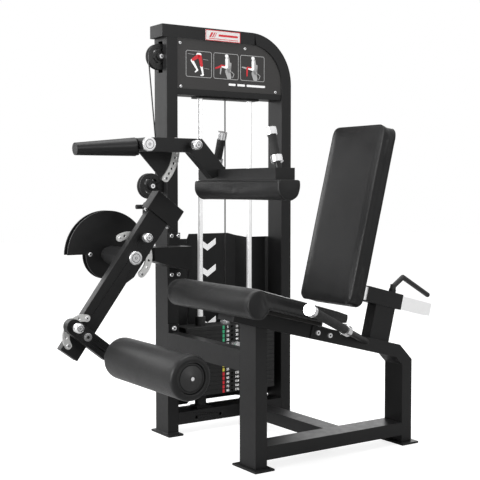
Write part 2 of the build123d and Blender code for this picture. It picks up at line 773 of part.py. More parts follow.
def start_index_plate():
    """Sector keyed to the shaft, with the row of start position holes along its rim."""
    outline = arc_band(PIVOT_X, PIVOT_Z, START_RADIUS, INDEX_WIDTH, *START_BOLT_ANGLES)
    outline += wedge(PIVOT_X, PIVOT_Z, START_RADIUS, 10, 60) + disc(PIVOT_X, PIVOT_Z, 34)
    outline -= disc(PIVOT_X, PIVOT_Z, SHAFT_RADIUS)
    for step in range(-5, 3):
        hole = around(PIVOT_X, PIVOT_Z, START_RADIUS, START_ANGLE + START_STEP * step)
        outline -= disc(*hole, POP_PIN_RADIUS + 0.3)
    write("start_index_plate", prism(outline, START_FRONT, START_BACK))


# ---------------------------------------------------------------- lever
LEVER_EDGE_LEFT = -54.0
LEVER_EDGE_UPPER = 40.0
LEVER_EDGE_LOWER = 26.0
LEVER_TOP_U = -181.0
LEVER_END_U = 432.0


def lever_outline():
    points = [
        lever_point(LEVER_TOP_U, LEVER_EDGE_LEFT),
        lever_point(LEVER_TOP_U, LEVER_EDGE_UPPER),
        lever_point(60, LEVER_EDGE_UPPER),
        lever_point(95, LEVER_EDGE_LOWER),
        lever_point(LEVER_END_U, LEVER_EDGE_LOWER),
        lever_point(LEVER_END_U, LEVER_EDGE_LEFT),
    ]
    return shape_of(points)


def start_pin_place():
    return around(PIVOT_X, PIVOT_Z, START_RADIUS, START_ANGLE)


def lever():
    """Hollow lever with a boss on the shaft and sleeves for the pop-pin and the roller arm."""
    outline = lever_outline()
    hollow = offset(outline, amount=-WALL, kind=Kind.INTERSECTION)
    body = prism(outline, LEVER_FRONT, LEVER_BACK)
    body -= prism(hollow, LEVER_FRONT + WALL, LEVER_BACK - WALL)
    bosses = (
        (PIVOT_X, PIVOT_Z, 26, SHAFT_RADIUS + CLEARANCE),
        (*start_pin_place(), 11, POP_PIN_RADIUS + CLEARANCE),
        (*arm_pivot_place(), 16, 10),
    )
    for x, z, outer, bore in bosses:
        body += cylinder_y(x, z, LEVER_FRONT, LEVER_BACK, outer)
        body -= cylinder_y(x, z, LEVER_FRONT - 1, LEVER_BACK + 1, bore)
    body += pop_pin_barrel(*start_pin_place(), LEVER_FRONT)
    write("lever", body)


def lever_counterweight():
    corners = [lever_point(u, v) for u, v in ((-260, -68), (-181, -68), (-181, 68), (-260, 68))]
    body = prism(shape_of(corners), LEVER_FRONT - 8, LEVER_BACK + 8)
    write("lever_counterweight", chamfer(body.edges().filter_by(Axis.Y), 1.5))


def counterweight_bolts():
    y = (LEVER_FRONT + LEVER_BACK) / 2
    bolts = []
    for v in (-61, 54):
        x0, z0 = lever_point(LEVER_TOP_U, v)
        x1, z1 = lever_point(LEVER_TOP_U + 9, v)
        bolts.append(bar((x0, y, z0), (x1, y, z1), 6.5))
    return bolts


def domed_cap(x, z, back_y, radius, height):
    cap = cylinder_y(x, z, back_y - height, back_y, radius)
    return fillet(cap.edges().group_by(Axis.Y)[0], height * 0.45)


# ---------------------------------------------------------------- pop-pins
def pop_pin_barrel(x, z, face_y):
    """Threaded barrel that guides a spring pin."""
    return ring_y(x, z, face_y - 26, face_y, POP_PIN_RADIUS + CLEARANCE, 9)


def pop_pin(x, z, face_y, tip_y):
    """Spring pin with its pull knob."""
    rod = cylinder_y(x, z, face_y - 34, tip_y, POP_PIN_RADIUS)
    knob = cylinder_y(x, z, face_y - 52, face_y - 28, 17.5)
    return rod + fillet(knob.edges().group_by(Axis.Y)[0], 8)


def start_pop_pin():
    write("start_pop_pin", pop_pin(*start_pin_place(), LEVER_FRONT, START_FRONT - 0.6))


# ---------------------------------------------------------------- roller arm
ROLLER_PLATE_FRONT = LEVER_FRONT - 8
ARM_FRONT = -280.0
ARM_BACK = -246.0
ARM_HALF = 27.5
ROLLER_INDEX_RADIUS = 64.0
ROLLER_ARM_ANGLE = -38.3
ROLLER_INDEX_ANGLE = 180 + ROLLER_ARM_ANGLE
ROLLER_STEP = 20.0
ROLLER_BOLT_ANGLES = (74.0, 210.0)
ROLLER_AXLE_RADIUS = 12.5


def arm_pivot_place():
    return lever_point(ARM_PIVOT_U, ARM_PIVOT_V)


def roller_place():
    return around(*arm_pivot_place(), ROLLER_REACH, ROLLER_ARM_ANGLE)


def roller_pin_place():
    return around(*arm_pivot_place(), ROLLER_INDEX_RADIUS, ROLLER_INDEX_ANGLE)


def roller_index_plate():
    x, z = arm_pivot_place()
    band = arc_band(x, z, ROLLER_INDEX_RADIUS, 26, *ROLLER_BOLT_ANGLES)
    for step in range(-2, 3):
        hole = around(x, z, ROLLER_INDEX_RADIUS, ROLLER_INDEX_ANGLE + ROLLER_STEP * step)
        band -= disc(*hole, POP_PIN_RADIUS + 0.3)
    write("roller_index_plate", prism(band, ROLLER_PLATE_FRONT, LEVER_FRONT))


def lever_bolts():
    """Roller arm's pivot bolt, the small bolts of its index plate and the counterweight's bolts."""
    x, z = arm_pivot_place()
    shank = cylinder_y(x, z, ARM_FRONT - 2, LEVER_BACK, 10)
    head = cylinder_y(x, z, ARM_FRONT - 9, ARM_FRONT - 2, 15)
    bolts = [shank + head]
    for angle in ROLLER_BOLT_ANGLES:
        place = around(x, z, ROLLER_INDEX_RADIUS, angle)
        bolts.append(bolt_head_y(*place, ROLLER_PLATE_FRONT, 7, 3))
    write("lever_bolts", *bolts, *counterweight_bolts())


def roller_arm():
    """Short arm with round ends: pop-pin at one end, roller axle at the other."""
    pivot = arm_pivot_place()
    pin = roller_pin_place()
    axle = roller_place()
    angle = math.radians(ROLLER_ARM_ANGLE + 90)
    dx = ARM_HALF * math.cos(angle)
    dz = ARM_HALF * math.sin(angle)
    sides = [
        (pin[0] + dx, pin[1] + dz), (axle[0] + dx, axle[1] + dz),
        (axle[0] - dx, axle[1] - dz), (pin[0] - dx, pin[1] - dz),
    ]
    outline = shape_of(sides) + disc(*pin, ARM_HALF) + disc(*axle, ARM_HALF)
    hollow = offset(outline, amount=-WALL)
    body = prism(outline, ARM_FRONT, ARM_BACK) - prism(hollow, ARM_FRONT + WALL, ARM_BACK - WALL)
    bosses = (
        (*pivot, 17, 10 + CLEARANCE),
        (*pin, 11, POP_PIN_RADIUS + CLEARANCE),
        (*axle, 20, ROLLER_AXLE_RADIUS),
    )
    for x, z, outer, bore in bosses:
        body += cylinder_y(x, z, ARM_FRONT, ARM_BACK, outer)
        body -= cylinder_y(x, z, ARM_FRONT - 1, ARM_BACK + 1, bore)
    body += pop_pin_barrel(*pin, ARM_FRONT)
    write("roller_arm", body)


def roller_pop_pin():
    write("roller_pop_pin", pop_pin(*roller_pin_place(), ARM_FRONT, ROLLER_PLATE_FRONT - 0.6))


def foot_roller():
    """Foam roller on its axle, with a domed cap sunk in each end."""
    x, z = roller_place()
    recess = 14.0
    cap_radius = 52.0
    foam = cylinder_y(x, z, ROLLER_NEAR, ROLLER_FAR, ROLLER_RADIUS)
    foam = fillet(foam.edges(), 12)
    foam -= cylinder_y(x, z, ROLLER_NEAR - 1, ROLLER_NEAR + recess, cap_radius)
    foam -= cylinder_y(x, z, ROLLER_FAR - recess, ROLLER_FAR + 1, cap_radius)
    foam -= cylinder_y(x, z, ROLLER_NEAR, ROLLER_FAR, 20)
    write("foot_roller", foam)
    bore = ROLLER_AXLE_RADIUS + CLEARANCE
    cap_edge = cap_radius - 4
    near_cap = ring_y(x, z, ROLLER_NEAR + 5, ROLLER_NEAR + recess, bore, cap_edge)
    far_cap = ring_y(x, z, ROLLER_FAR - recess, ROLLER_FAR - 5, bore, cap_edge)
    core = ring_y(x, z, ROLLER_NEAR + recess, ROLLER_FAR - recess, bore, 20)
    write("roller_core", near_cap + core + far_cap)
    axle = cylinder_y(x, z, ROLLER_NEAR + 2, ARM_BACK, ROLLER_AXLE_RADIUS)
    write("roller_axle", axle + domed_cap(x, z, ROLLER_NEAR + 2, 9, 6))


# ---------------------------------------------------------------- thigh pad arm
THIGH_ARM_FRONT = -510.0
THIGH_ARM_BACK = -475.0
THIGH_ARM_HALF = 24.0
THIGH_HUB_BACK = -412.0
SECTOR_FRONT = -404.0
SECTOR_BACK = -396.0
THIGH_INDEX_RADIUS = 171.0
THIGH_INDEX_STEP = 7.0
CROSS_LEFT = -79.0
CROSS_RIGHT = 1.0
CROSS_LOW = 1028.0
CROSS_HIGH = 1068.0
CROSS_NEAR = SEAT_Y - 240.0
CROSS_FAR = SEAT_Y + 240.0


def thigh_support():
    """Slanting tube from the tower to the fixed bearing stub of the thigh pad's arm."""
    half = 22.0
    stub = cylinder_y(HUB_X, HUB_Z, SECTOR_BACK, SECTOR_BACK + 62, 25)
    plan = Polygon(
        (-24, FRONT_Y - 6), (24, FRONT_Y - 6), (HUB_X + 30, SECTOR_BACK + 8), (HUB_X, SECTOR_BACK + 8),
        (HUB_X, SECTOR_BACK + 50), align=None,
    )
    tube_body = plan_prism(plan, HUB_Z - half, HUB_Z + half)
    inner_plan = offset(plan, amount=-WALL, kind=Kind.INTERSECTION)
    inner = plan_prism(inner_plan, HUB_Z - half + WALL, HUB_Z + half - WALL)
    flange = block(-24, 24, FRONT_Y - 6, FRONT_Y, HUB_Z - 46, HUB_Z + 46)
    body = (tube_body - inner) + stub + flange + thigh_sector()
    body -= cylinder_y(HUB_X, HUB_Z, SECTOR_FRONT - 1, SECTOR_BACK + 40, 12.5)
    write("thigh_support", body)


def thigh_sector():
    plate = wedge(HUB_X, HUB_Z, THIGH_INDEX_RADIUS - 10, -46, 4) + disc(HUB_X, HUB_Z, 27)
    ear = around(HUB_X, HUB_Z, THIGH_INDEX_RADIUS, -42)
    plate += disc(*ear, 11)
    return prism(plate, SECTOR_FRONT, SECTOR_BACK)


def thigh_index_plate():
    band = arc_band(HUB_X, HUB_Z, THIGH_INDEX_RADIUS, 27, -42, 6)
    for step in range(6):
        hole = around(HUB_X, HUB_Z, THIGH_INDEX_RADIUS, -THIGH_INDEX_STEP * step)
        band -= disc(*hole, POP_PIN_RADIUS + 0.3)
    write("thigh_index_plate", prism(band, SECTOR_FRONT - 6, SECTOR_FRONT))


def thigh_index_bolt():
    place = around(HUB_X, HUB_Z, THIGH_INDEX_RADIUS, -42)
    return bolt_head_y(*place, SECTOR_FRONT - 6, 7, 3)


def thigh_shaft():
    shaft = cylinder_y(HUB_X, HUB_Z, THIGH_ARM_FRONT - 3, SECTOR_BACK + 40, 12.5)
    write("thigh_shaft", shaft + domed_cap(HUB_X, HUB_Z, THIGH_ARM_FRONT - 3, 25, 9))


def bent_arm():
    """Level arm that bends down to the cross tube, with its hub and pop-pin sleeve."""
    high = HUB_Z + THIGH_ARM_HALF
    low = HUB_Z - THIGH_ARM_HALF
    outline = shape_of(
        [
            (HUB_X, high), (-147, high), (-46, CROSS_HIGH), (CROSS_LEFT, CROSS_HIGH),
            (CROSS_LEFT, CROSS_LOW + 14), (-104, CROSS_LOW + 6), (-197, low), (HUB_X, low),
        ]
    )
    outline += disc(HUB_X, HUB_Z, THIGH_ARM_HALF)
    hollow = offset(outline, amount=-WALL, kind=Kind.INTERSECTION)
    body = prism(outline, THIGH_ARM_FRONT, THIGH_ARM_BACK)
    body -= prism(hollow, THIGH_ARM_FRONT + WALL, THIGH_ARM_BACK - WALL)
    body += cylinder_y(HUB_X, HUB_Z, THIGH_ARM_FRONT, THIGH_HUB_BACK, 24)
    pin_x = HUB_X + THIGH_INDEX_RADIUS
    body += cylinder_y(pin_x, HUB_Z, THIGH_ARM_FRONT, THIGH_HUB_BACK - 4, 11)
    body -= cylinder_y(pin_x, HUB_Z, THIGH_ARM_FRONT - 1, 0, POP_PIN_RADIUS + CLEARANCE)
    body -= cylinder_y(HUB_X, HUB_Z, THIGH_ARM_FRONT - 1, 0, 12.5 + CLEARANCE)
    return body + pop_pin_barrel(pin_x, HUB_Z, THIGH_ARM_FRONT)


def cross_tube():
    """Tube over the thigh pad with closed ends and the stems of both handles."""
    tube_body = block(CROSS_LEFT, CROSS_RIGHT, CROSS_NEAR, CROSS_FAR, CROSS_LOW, CROSS_HIGH)
    tube_body -= block(
        CROSS_LEFT + WALL, CROSS_RIGHT - WALL, CROSS_NEAR + WALL, CROSS_FAR - WALL,
        CROSS_LOW + WALL, CROSS_HIGH - WALL,
    )
    inside = block(CROSS_LEFT, CROSS_RIGHT, CROSS_NEAR, CROSS_FAR, CROSS_LOW - 40, CROSS_HIGH)
    for side in (-1, 1):
        tube_body += bar(grip_point(side, -0.05), grip_point(side, 0.94), 11) - inside
    return tube_body


def thigh_arm():
    write("thigh_arm", bent_arm() + cross_tube())


def thigh_pop_pin():
    pin = pop_pin(HUB_X + THIGH_INDEX_RADIUS, HUB_Z, THIGH_ARM_FRONT, SECTOR_FRONT - 6.6)
    write("thigh_pop_pin", pin)


def thigh_counterweight():
    y = (THIGH_ARM_FRONT + THIGH_HUB_BACK) / 2
    root = (HUB_X - 27, y, HUB_Z - 8)
    tip = (-612, y, HUB_Z - 20)
    collar = bar((HUB_X - 18, y, HUB_Z - 7), root, 30)
    weight = bar(root, tip, 32, 21)
    hub = cylinder_y(HUB_X, HUB_Z, THIGH_ARM_FRONT - 1, THIGH_HUB_BACK + 1, 24)
    arm_space = block(HUB_X - 30, HUB_X + 60, THIGH_ARM_FRONT - 1, THIGH_ARM_BACK + 1, 1100, 1200)
    write("thigh_counterweight", (collar + weight) - hub - arm_space)


def thigh_pad():
    """Long pad, flat on top and round below."""
    middle = (CROSS_LEFT + CROSS_RIGHT) / 2
    half = 44.5
    low = CROSS_LOW - 70
    square = Pos(middle, low + half / 2) * Rectangle(2 * half, half)
    outline = (disc(middle, low + half, half) & square) + shape_of(
        [
            (middle - half, low + half), (middle + half, low + half),
            (middle + half, CROSS_LOW), (middle - half, CROSS_LOW),
        ]
    )
    y0 = SEAT_Y - THIGH_PAD_LENGTH / 2
    y1 = SEAT_Y + THIGH_PAD_LENGTH / 2
    write("thigh_pad", prism(outline, y0, y1))


GRIP_X = -33.0
GRIP_BASE_OFFSET = 194.0
GRIP_LEAN = 45.0
GRIP_RISE = 135.0


def grip_point(side, share):
    """Point on a thigh pad handle, share 0 at the cross tube and 1 at the top."""
    y = SEAT_Y + side * (GRIP_BASE_OFFSET - GRIP_LEAN * share)
    return (GRIP_X, y, CROSS_HIGH + GRIP_RISE * share)


def grip_sleeve(start, end, bore, inner, outer):
    """Sleeve around the line from start to end, with a bore along a longer line."""
    return bar(start, end, outer) - bar(*bore, inner)


def thigh_handles():
    """Rubber grips of the pull handles, with a chrome ring below and a chrome end above."""
    grips = []
    rings = []
    for side in (-1, 1):
        bore = (grip_point(side, 0.05), grip_point(side, 0.94))
        grips.append(grip_sleeve(grip_point(side, 0.3), grip_point(side, 0.82), bore, 11, 15))
        rings.append(grip_sleeve(grip_point(side, 0.14), grip_point(side, 0.3), bore, 11, 20))
        rings.append(grip_sleeve(grip_point(side, 0.82), grip_point(side, 1.0), bore, 11, 18))
    write("thigh_handle_grips", *grips)
    write("thigh_handle_rings", *rings)


# ---------------------------------------------------------------- seat
BOARD_TOP = BEAM_TOP + 12
CUSHION_TOP = BEAM_TOP + 66
ROLL_B = -304.0
ROLL_RADIUS = 49.0
SEAT_REAR_B = 175.0
SEAT_REAR_WIDTH = 290.0


def seat_board():
    board = slope_box(BEAM_FRONT_B, 60, BEAM_TOP, BOARD_TOP, SEAT_Y - 150, SEAT_Y + 150)
    write("seat_board", board)


def seat_pad():
    """Cushion that narrows toward the back, with a round front roll under the knees."""
    slab = shape_of(
        [
            slope_point(ROLL_B, BOARD_TOP), slope_point(60, BOARD_TOP),
            slope_point(SEAT_REAR_B, BOARD_TOP + 19),
            slope_point(SEAT_REAR_B, CUSHION_TOP - 4), slope_point(ROLL_B, CUSHION_TOP),
        ]
    )
    roll_x, roll_z = slope_point(ROLL_B, CUSHION_TOP - ROLL_RADIUS + 1)
    side_view = slab + disc(roll_x, roll_z, ROLL_RADIUS)
    half = SEAT_WIDTH / 2
    body = prism(side_view, SEAT_Y - half, SEAT_Y + half)
    rear_x = slope_point(SEAT_REAR_B, CUSHION_TOP)[0]
    plan = shape_of(
        [
            (roll_x - 100, SEAT_Y - half), (roll_x, SEAT_Y - half),
            (rear_x, SEAT_Y - SEAT_REAR_WIDTH / 2), (rear_x + 50, SEAT_Y - SEAT_REAR_WIDTH / 2),
            (rear_x + 50, SEAT_Y + SEAT_REAR_WIDTH / 2), (rear_x, SEAT_Y + SEAT_REAR_WIDTH / 2),
            (roll_x, SEAT_Y + half), (roll_x - 100, SEAT_Y + half),
        ]
    )
    write("seat_pad", body & plan_prism(plan, 0, TOWER_HEIGHT))


BRACKET_BOLTS_B = (122.0, 180.0)


def seat_bracket_plates():
    """Plates on both sides of the beam where the seat bolts on."""
    plates = []
    for side in (-1, 1):
        y0, y1 = sorted((SEAT_Y + side * HALF_DEEP, SEAT_Y + side * (HALF_DEEP + 5)))
        plates.append(slope_box(95, 200, BEAM_TOP - 46, BEAM_TOP - 2, y0, y1))
    return plates


def seat_bracket_bolts():
    heads = []
    for side in (-1, 1):
        outer = HALF_DEEP + 5
        y0, y1 = sorted((SEAT_Y + side * outer, SEAT_Y + side * (outer + 7)))
        for b in BRACKET_BOLTS_B:
            x, z = slope_point(b, BEAM_TOP - 24)
            heads.append(cylinder_y(x, z, y0, y1, 9))
    return heads


def rail_point(side, share):
    """Point on a hand rail, share 0 at the beam and 1 at the front end."""
    foot = (478.0, SEAT_Y + side * HALF_DEEP, 424.0)
    front = (6.0, SEAT_Y + side * (HALF_DEEP + 264), 601.0)
    return tuple(foot[i] + (front[i] - foot[i]) * share for i in range(3))


def hand_rails():
    """Straight rails beside the seat, each with a long rubber grip between two chrome pieces."""
    rails = []
    grips = []
    rings = []
    beam_space = block(-400, 800, SEAT_Y - HALF_DEEP, SEAT_Y + HALF_DEEP, 300, 700)
    for side in (-1, 1):
        bore = (rail_point(side, -0.05), rail_point(side, 0.97))
        rails.append(bar(*bore, 12) - beam_space)
        grips.append(grip_sleeve(rail_point(side, 0.4), rail_point(side, 0.95), bore, 12, 16))
        rings.append(grip_sleeve(rail_point(side, 0.34), rail_point(side, 0.4), bore, 12, 21))
        rings.append(grip_sleeve(rail_point(side, 0.95), rail_point(side, 1.0), bore, 12, 21))
    write("hand_rails", *rails)
    write("hand_rail_grips", *grips)
    write("hand_rail_rings", *rings)


# ---------------------------------------------------------------- backrest
SLIDE_A = 707.0
SLIDE_HALF = 25.0
SLEEVE_HALF = 30.0
SLEEVE_B0 = 348.0
SLEEVE_B1 = 530.0
PAD_FRONT_B = 166.0
PAD_THICK = 61.0
PAD_LOW_A = 638.0
PAD_HIGH_A = 1320.0
BACK_WIDTH = 300.0
BACK_BOARD = 12.0
BACK_PLATE = 6.0


def back_post():
    """Short post on the beam and the square sleeve it carries."""
    outer = slope_box(404, 504, BEAM_TOP, SLIDE_A - SLEEVE_HALF, SEAT_Y - 25, SEAT_Y + 25)
    core = slope_box(407, 501, BEAM_TOP, SLIDE_A - SLEEVE_HALF, SEAT_Y - 22, SEAT_Y + 22)
    sleeve = slope_box(
        SLEEVE_B0, SLEEVE_B1, SLIDE_A - SLEEVE_HALF, SLIDE_A + SLEEVE_HALF,
        SEAT_Y - SLEEVE_HALF, SEAT_Y + SLEEVE_HALF,
    )
    gap = SLIDE_HALF + 0.5
    sleeve -= slope_box(
        SLEEVE_B0 - 1, SLEEVE_B1 + 1, SLIDE_A - gap, SLIDE_A + gap, SEAT_Y - gap, SEAT_Y + gap
    )
    write("back_post", (outer - core) + sleeve + clamp_boss())


def back_slide_tube():
    """Square tube with the plate that holds the backrest on its front end."""
    plate_b = PAD_FRONT_B + PAD_THICK + BACK_BOARD
    start = plate_b + BACK_PLATE
    end = 694.0
    low = SLIDE_A - SLIDE_HALF
    high = SLIDE_A + SLIDE_HALF
    body = slope_box(start, end, low, high, SEAT_Y - SLIDE_HALF, SEAT_Y + SLIDE_HALF)
    near = SEAT_Y - SLIDE_HALF + WALL
    far = SEAT_Y + SLIDE_HALF - WALL
    body -= slope_box(start, end - WALL, low + WALL, high - WALL, near, far)
    body += slope_box(plate_b, start, SLIDE_A - 50, SLIDE_A + 300, SEAT_Y - 45, SEAT_Y + 45)
    write("back_slide_tube", body)


def back_board():
    b0 = PAD_FRONT_B + PAD_THICK
    board = slope_box(
        b0, b0 + BACK_BOARD, PAD_LOW_A + 20, PAD_HIGH_A - 20,
        SEAT_Y - BACK_WIDTH / 2 + 18, SEAT_Y + BACK_WIDTH / 2 - 18,
    )
    write("back_board", board)


def back_pad():
    body = slope_box(
        PAD_FRONT_B, PAD_FRONT_B + PAD_THICK, PAD_LOW_A, PAD_HIGH_A,
        SEAT_Y - BACK_WIDTH / 2, SEAT_Y + BACK_WIDTH / 2,
    )
    along = Vector(math.cos(SLOPE), 0, -math.sin(SLOPE))
    corners = [e for e in body.edges() if abs(e.tangent_at(0).dot(along)) > 0.99]
    write("back_pad", fillet(corners, 34))


CLAMP_B = 495.0
CLAMP_ARM_RADIUS = 10.0
CLAMP_ARM = ((41.0, 56.0), (191.0, 14.0))


BOSS_TOP_A = SLIDE_A + SLEEVE_HALF + 14


def clamp_point(db, da):
    """Point of the clamp, db along the sleeve and da above the boss."""
    x, z = slope_point(CLAMP_B + db, BOSS_TOP_A + da)
    return (x, SEAT_Y, z)


def clamp_boss():
    """Threaded boss on the sleeve."""
    return bar(clamp_point(0, -14), clamp_point(0, 0), 14)


def back_clamp_lever():
    """Lever that tightens the sleeve on the slide tube."""
    body = bar(clamp_point(0, 0), clamp_point(0, 18), 12)
    elbow, end = (clamp_point(db, da) for db, da in CLAMP_ARM)
    body += bar(clamp_point(0, 10), elbow, CLAMP_ARM_RADIUS) + bar(elbow, end, CLAMP_ARM_RADIUS)
    body += Pos(*elbow) * Sphere(CLAMP_ARM_RADIUS) + Pos(*end) * Sphere(CLAMP_ARM_RADIUS)
    below = slope_box(CLAMP_B - 40, CLAMP_B + 40, BOSS_TOP_A - 20, BOSS_TOP_A, SEAT_Y - 40, SEAT_Y + 40)
    write("back_clamp_lever", body - below)


# ---------------------------------------------------------------- rubber stops
STOP_EAR_FRONT = -174.0
STOP_X = PIVOT_X + 84
STOP_Z = 930.0


def stop_ear_outline():
    """Curved ear that rises from the bearing housing and carries the lever's stop."""
    outline = shape_of(
        [
            (PIVOT_X - 10, PIVOT_Z + 32), (PIVOT_X + 34, PIVOT_Z + 16),
            (STOP_X + 22, STOP_Z - 60), (STOP_X + 18, STOP_Z + 8), (STOP_X - 12, STOP_Z + 8),
            (STOP_X - 14, STOP_Z - 60),
        ]
    )
    return outline + disc(STOP_X + 3, STOP_Z + 4, 15)


def rubber_bumpers():
    """Rubber feet under the weight stack and the stop beside the lever."""
    y = STOP_EAR_FRONT + 5
    stop = bar((STOP_X - 42, y, STOP_Z), (STOP_X, y, STOP_Z), 8.5)
    stop -= prism(stop_ear_outline(), y - 30, y + 30)
    write("rubber_bumpers", stop, *stack_bumpers())


# ---------------------------------------------------------------- build everything
left_upright()
arch_tube()
tower_cross_members()
placard_panel()
badge_plate()
rear_shroud()
foot_plates()
seat_frame()
link_beam()
floor_tubes()
frame_bolts()
guide_rods()
top_plate()
lifted_plates()
resting_plates()
guide_sleeves()
selector_stem()
selector_pin()
pulleys()
cable_run()
stack_cable()
pivot_bracket()
pivot_bearings()
pivot_shaft()
cam()
drum_cable()
cam_bolts()
start_index_plate()
lever()
lever_counterweight()
lever_bolts()
start_pop_pin()
roller_index_plate()
roller_arm()
roller_pop_pin()
foot_roller()
thigh_support()
thigh_index_plate()
thigh_shaft()
thigh_arm()
thigh_pop_pin()
thigh_counterweight()
thigh_pad()
thigh_handles()
seat_board()
seat_pad()
hand_rails()
back_post()
back_slide_tube()
back_board()
back_pad()
back_clamp_lever()
rubber_bumpers()
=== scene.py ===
import math

import bmesh
import bpy
import numpy as np
from mathutils import Matrix, Vector
from mathutils.bvhtree import BVHTree
from mathutils.kdtree import KDTree


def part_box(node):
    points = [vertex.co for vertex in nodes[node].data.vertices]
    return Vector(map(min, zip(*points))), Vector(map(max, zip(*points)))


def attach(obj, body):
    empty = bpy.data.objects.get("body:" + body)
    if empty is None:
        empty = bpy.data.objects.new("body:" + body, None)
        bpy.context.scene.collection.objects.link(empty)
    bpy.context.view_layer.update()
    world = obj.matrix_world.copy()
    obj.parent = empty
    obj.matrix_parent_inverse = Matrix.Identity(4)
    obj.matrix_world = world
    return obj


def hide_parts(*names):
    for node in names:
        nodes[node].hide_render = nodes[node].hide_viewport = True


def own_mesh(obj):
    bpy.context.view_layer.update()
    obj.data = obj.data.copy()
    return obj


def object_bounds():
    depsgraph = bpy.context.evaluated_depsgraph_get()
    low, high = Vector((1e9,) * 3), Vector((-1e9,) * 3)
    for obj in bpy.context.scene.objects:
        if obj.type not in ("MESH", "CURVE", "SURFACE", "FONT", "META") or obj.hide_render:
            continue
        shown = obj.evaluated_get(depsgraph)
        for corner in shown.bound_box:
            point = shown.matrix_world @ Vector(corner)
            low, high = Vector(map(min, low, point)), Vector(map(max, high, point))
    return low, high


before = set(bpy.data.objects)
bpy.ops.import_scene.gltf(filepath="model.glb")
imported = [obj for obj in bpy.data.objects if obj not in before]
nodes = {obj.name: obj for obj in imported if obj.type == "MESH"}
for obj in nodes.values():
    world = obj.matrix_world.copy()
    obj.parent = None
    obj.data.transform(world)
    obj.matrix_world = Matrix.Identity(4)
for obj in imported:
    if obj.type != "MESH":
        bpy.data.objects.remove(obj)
cad_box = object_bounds()
MM = 0.001


# ---------------------------------------------------------------- node tools
def start_material(name, colour, metallic, roughness):
    material = bpy.data.materials.new(name)
    material.use_nodes = True
    tree = material.node_tree
    shader = tree.nodes["Principled BSDF"]
    shader.inputs["Base Color"].default_value = (*colour, 1)
    shader.inputs["Metallic"].default_value = metallic
    shader.inputs["Roughness"].default_value = roughness
    material.diffuse_color = (*colour, 1)
    return material, tree, shader


def place_coordinates(tree, stretch=(1, 1, 1)):
    """Object coordinates, which are metres in the shared frame and ride with the piece."""
    source = tree.nodes.new("ShaderNodeTexCoord")
    mapping = tree.nodes.new("ShaderNodeMapping")
    mapping.inputs["Scale"].default_value = stretch
    tree.links.new(source.outputs["Object"], mapping.inputs["Vector"])
    return mapping.outputs["Vector"]


def noise_of(tree, vector, scale, detail=3.0, roughness=0.5):
    node = tree.nodes.new("ShaderNodeTexNoise")
    node.inputs["Scale"].default_value = scale
    node.inputs["Detail"].default_value = detail
    node.inputs["Roughness"].default_value = roughness
    tree.links.new(vector, node.inputs["Vector"])
    return node.outputs["Fac"]


def cells_of(tree, vector, scale, feature="DISTANCE_TO_EDGE"):
    node = tree.nodes.new("ShaderNodeTexVoronoi")
    node.feature = feature
    node.inputs["Scale"].default_value = scale
    tree.links.new(vector, node.inputs["Vector"])
    return node.outputs["Distance"]


def spread(tree, value, low, high, to_low=0.0, to_high=1.0):
    node = tree.nodes.new("ShaderNodeMapRange")
    node.inputs["From Min"].default_value = low
    node.inputs["From Max"].default_value = high
    node.inputs["To Min"].default_value = to_low
    node.inputs["To Max"].default_value = to_high
    tree.links.new(value, node.inputs["Value"])
    return node.outputs["Result"]


def maths(tree, operation, a, b):
    node = tree.nodes.new("ShaderNodeMath")
    node.operation = operation
    for socket, value in zip(node.inputs, (a, b)):
        if isinstance(value, (int, float)):
            socket.default_value = value
        else:
            tree.links.new(value, socket)
    return node.outputs["Value"]


def blend_colours(tree, factor, first, second):
    node = tree.nodes.new("ShaderNodeMix")
    node.data_type = "RGBA"
    tree.links.new(factor, node.inputs["Factor"])
    for socket, colour in ((node.inputs[6], first), (node.inputs[7], second)):
        if isinstance(colour, tuple):
            socket.default_value = (*colour, 1)
        else:
            tree.links.new(colour, socket)
    return node.outputs[2]


def edge_wear(tree, width):
    """1 on a convex edge and 0 on open faces, from how a rounded normal leaves the real one."""
    rounded = tree.nodes.new("ShaderNodeBevel")
    rounded.samples = 4
    rounded.inputs["Radius"].default_value = width
    geometry = tree.nodes.new("ShaderNodeNewGeometry")
    dot = tree.nodes.new("ShaderNodeVectorMath")
    dot.operation = "DOT_PRODUCT"
    tree.links.new(rounded.outputs["Normal"], dot.inputs[0])
    tree.links.new(geometry.outputs["Normal"], dot.inputs[1])
    return spread(tree, dot.outputs["Value"], 0.995, 0.85)


def add_bump(tree, shader, height, distance, strength=1.0):
    node = tree.nodes.new("ShaderNodeBump")
    node.inputs["Distance"].default_value = distance
    node.inputs["Strength"].default_value = strength
    tree.links.new(height, node.inputs["Height"])
    tree.links.new(node.outputs["Normal"], shader.inputs["Normal"])


# ----------------------------------------------------------------- materials
def powder_coat(name, base, worn, roughness, grain, wear_share):
    """Satin powder coat: fine orange peel, faint cloudiness, rubbed edges."""
    material, tree, shader = start_material(name, base, 0.0, roughness)
    where = place_coordinates(tree)
    cloud = spread(tree, noise_of(tree, where, 6.0, 4.0), 0.3, 0.7)
    dust = noise_of(tree, where, 900.0, 2.0)
    rubbed = maths(tree, "MULTIPLY", edge_wear(tree, 1.6 * MM), spread(tree, dust, 0.42, 0.62))
    lighter = tuple(1.25 * value for value in base)
    body = blend_colours(tree, cloud, base, lighter)
    rubbed = maths(tree, "MULTIPLY", rubbed, wear_share)
    tree.links.new(blend_colours(tree, rubbed, body, worn), shader.inputs["Base Color"])
    uneven = spread(tree, noise_of(tree, where, 40.0, 5.0), 0.25, 0.75, roughness - 0.05, roughness + 0.07)
    tree.links.new(uneven, shader.inputs["Roughness"])
    shader.inputs["Specular IOR Level"].default_value = 0.3
    peel = noise_of(tree, where, grain, 2.0)
    add_bump(tree, shader, peel, 0.12 * MM, 0.55)
    return material


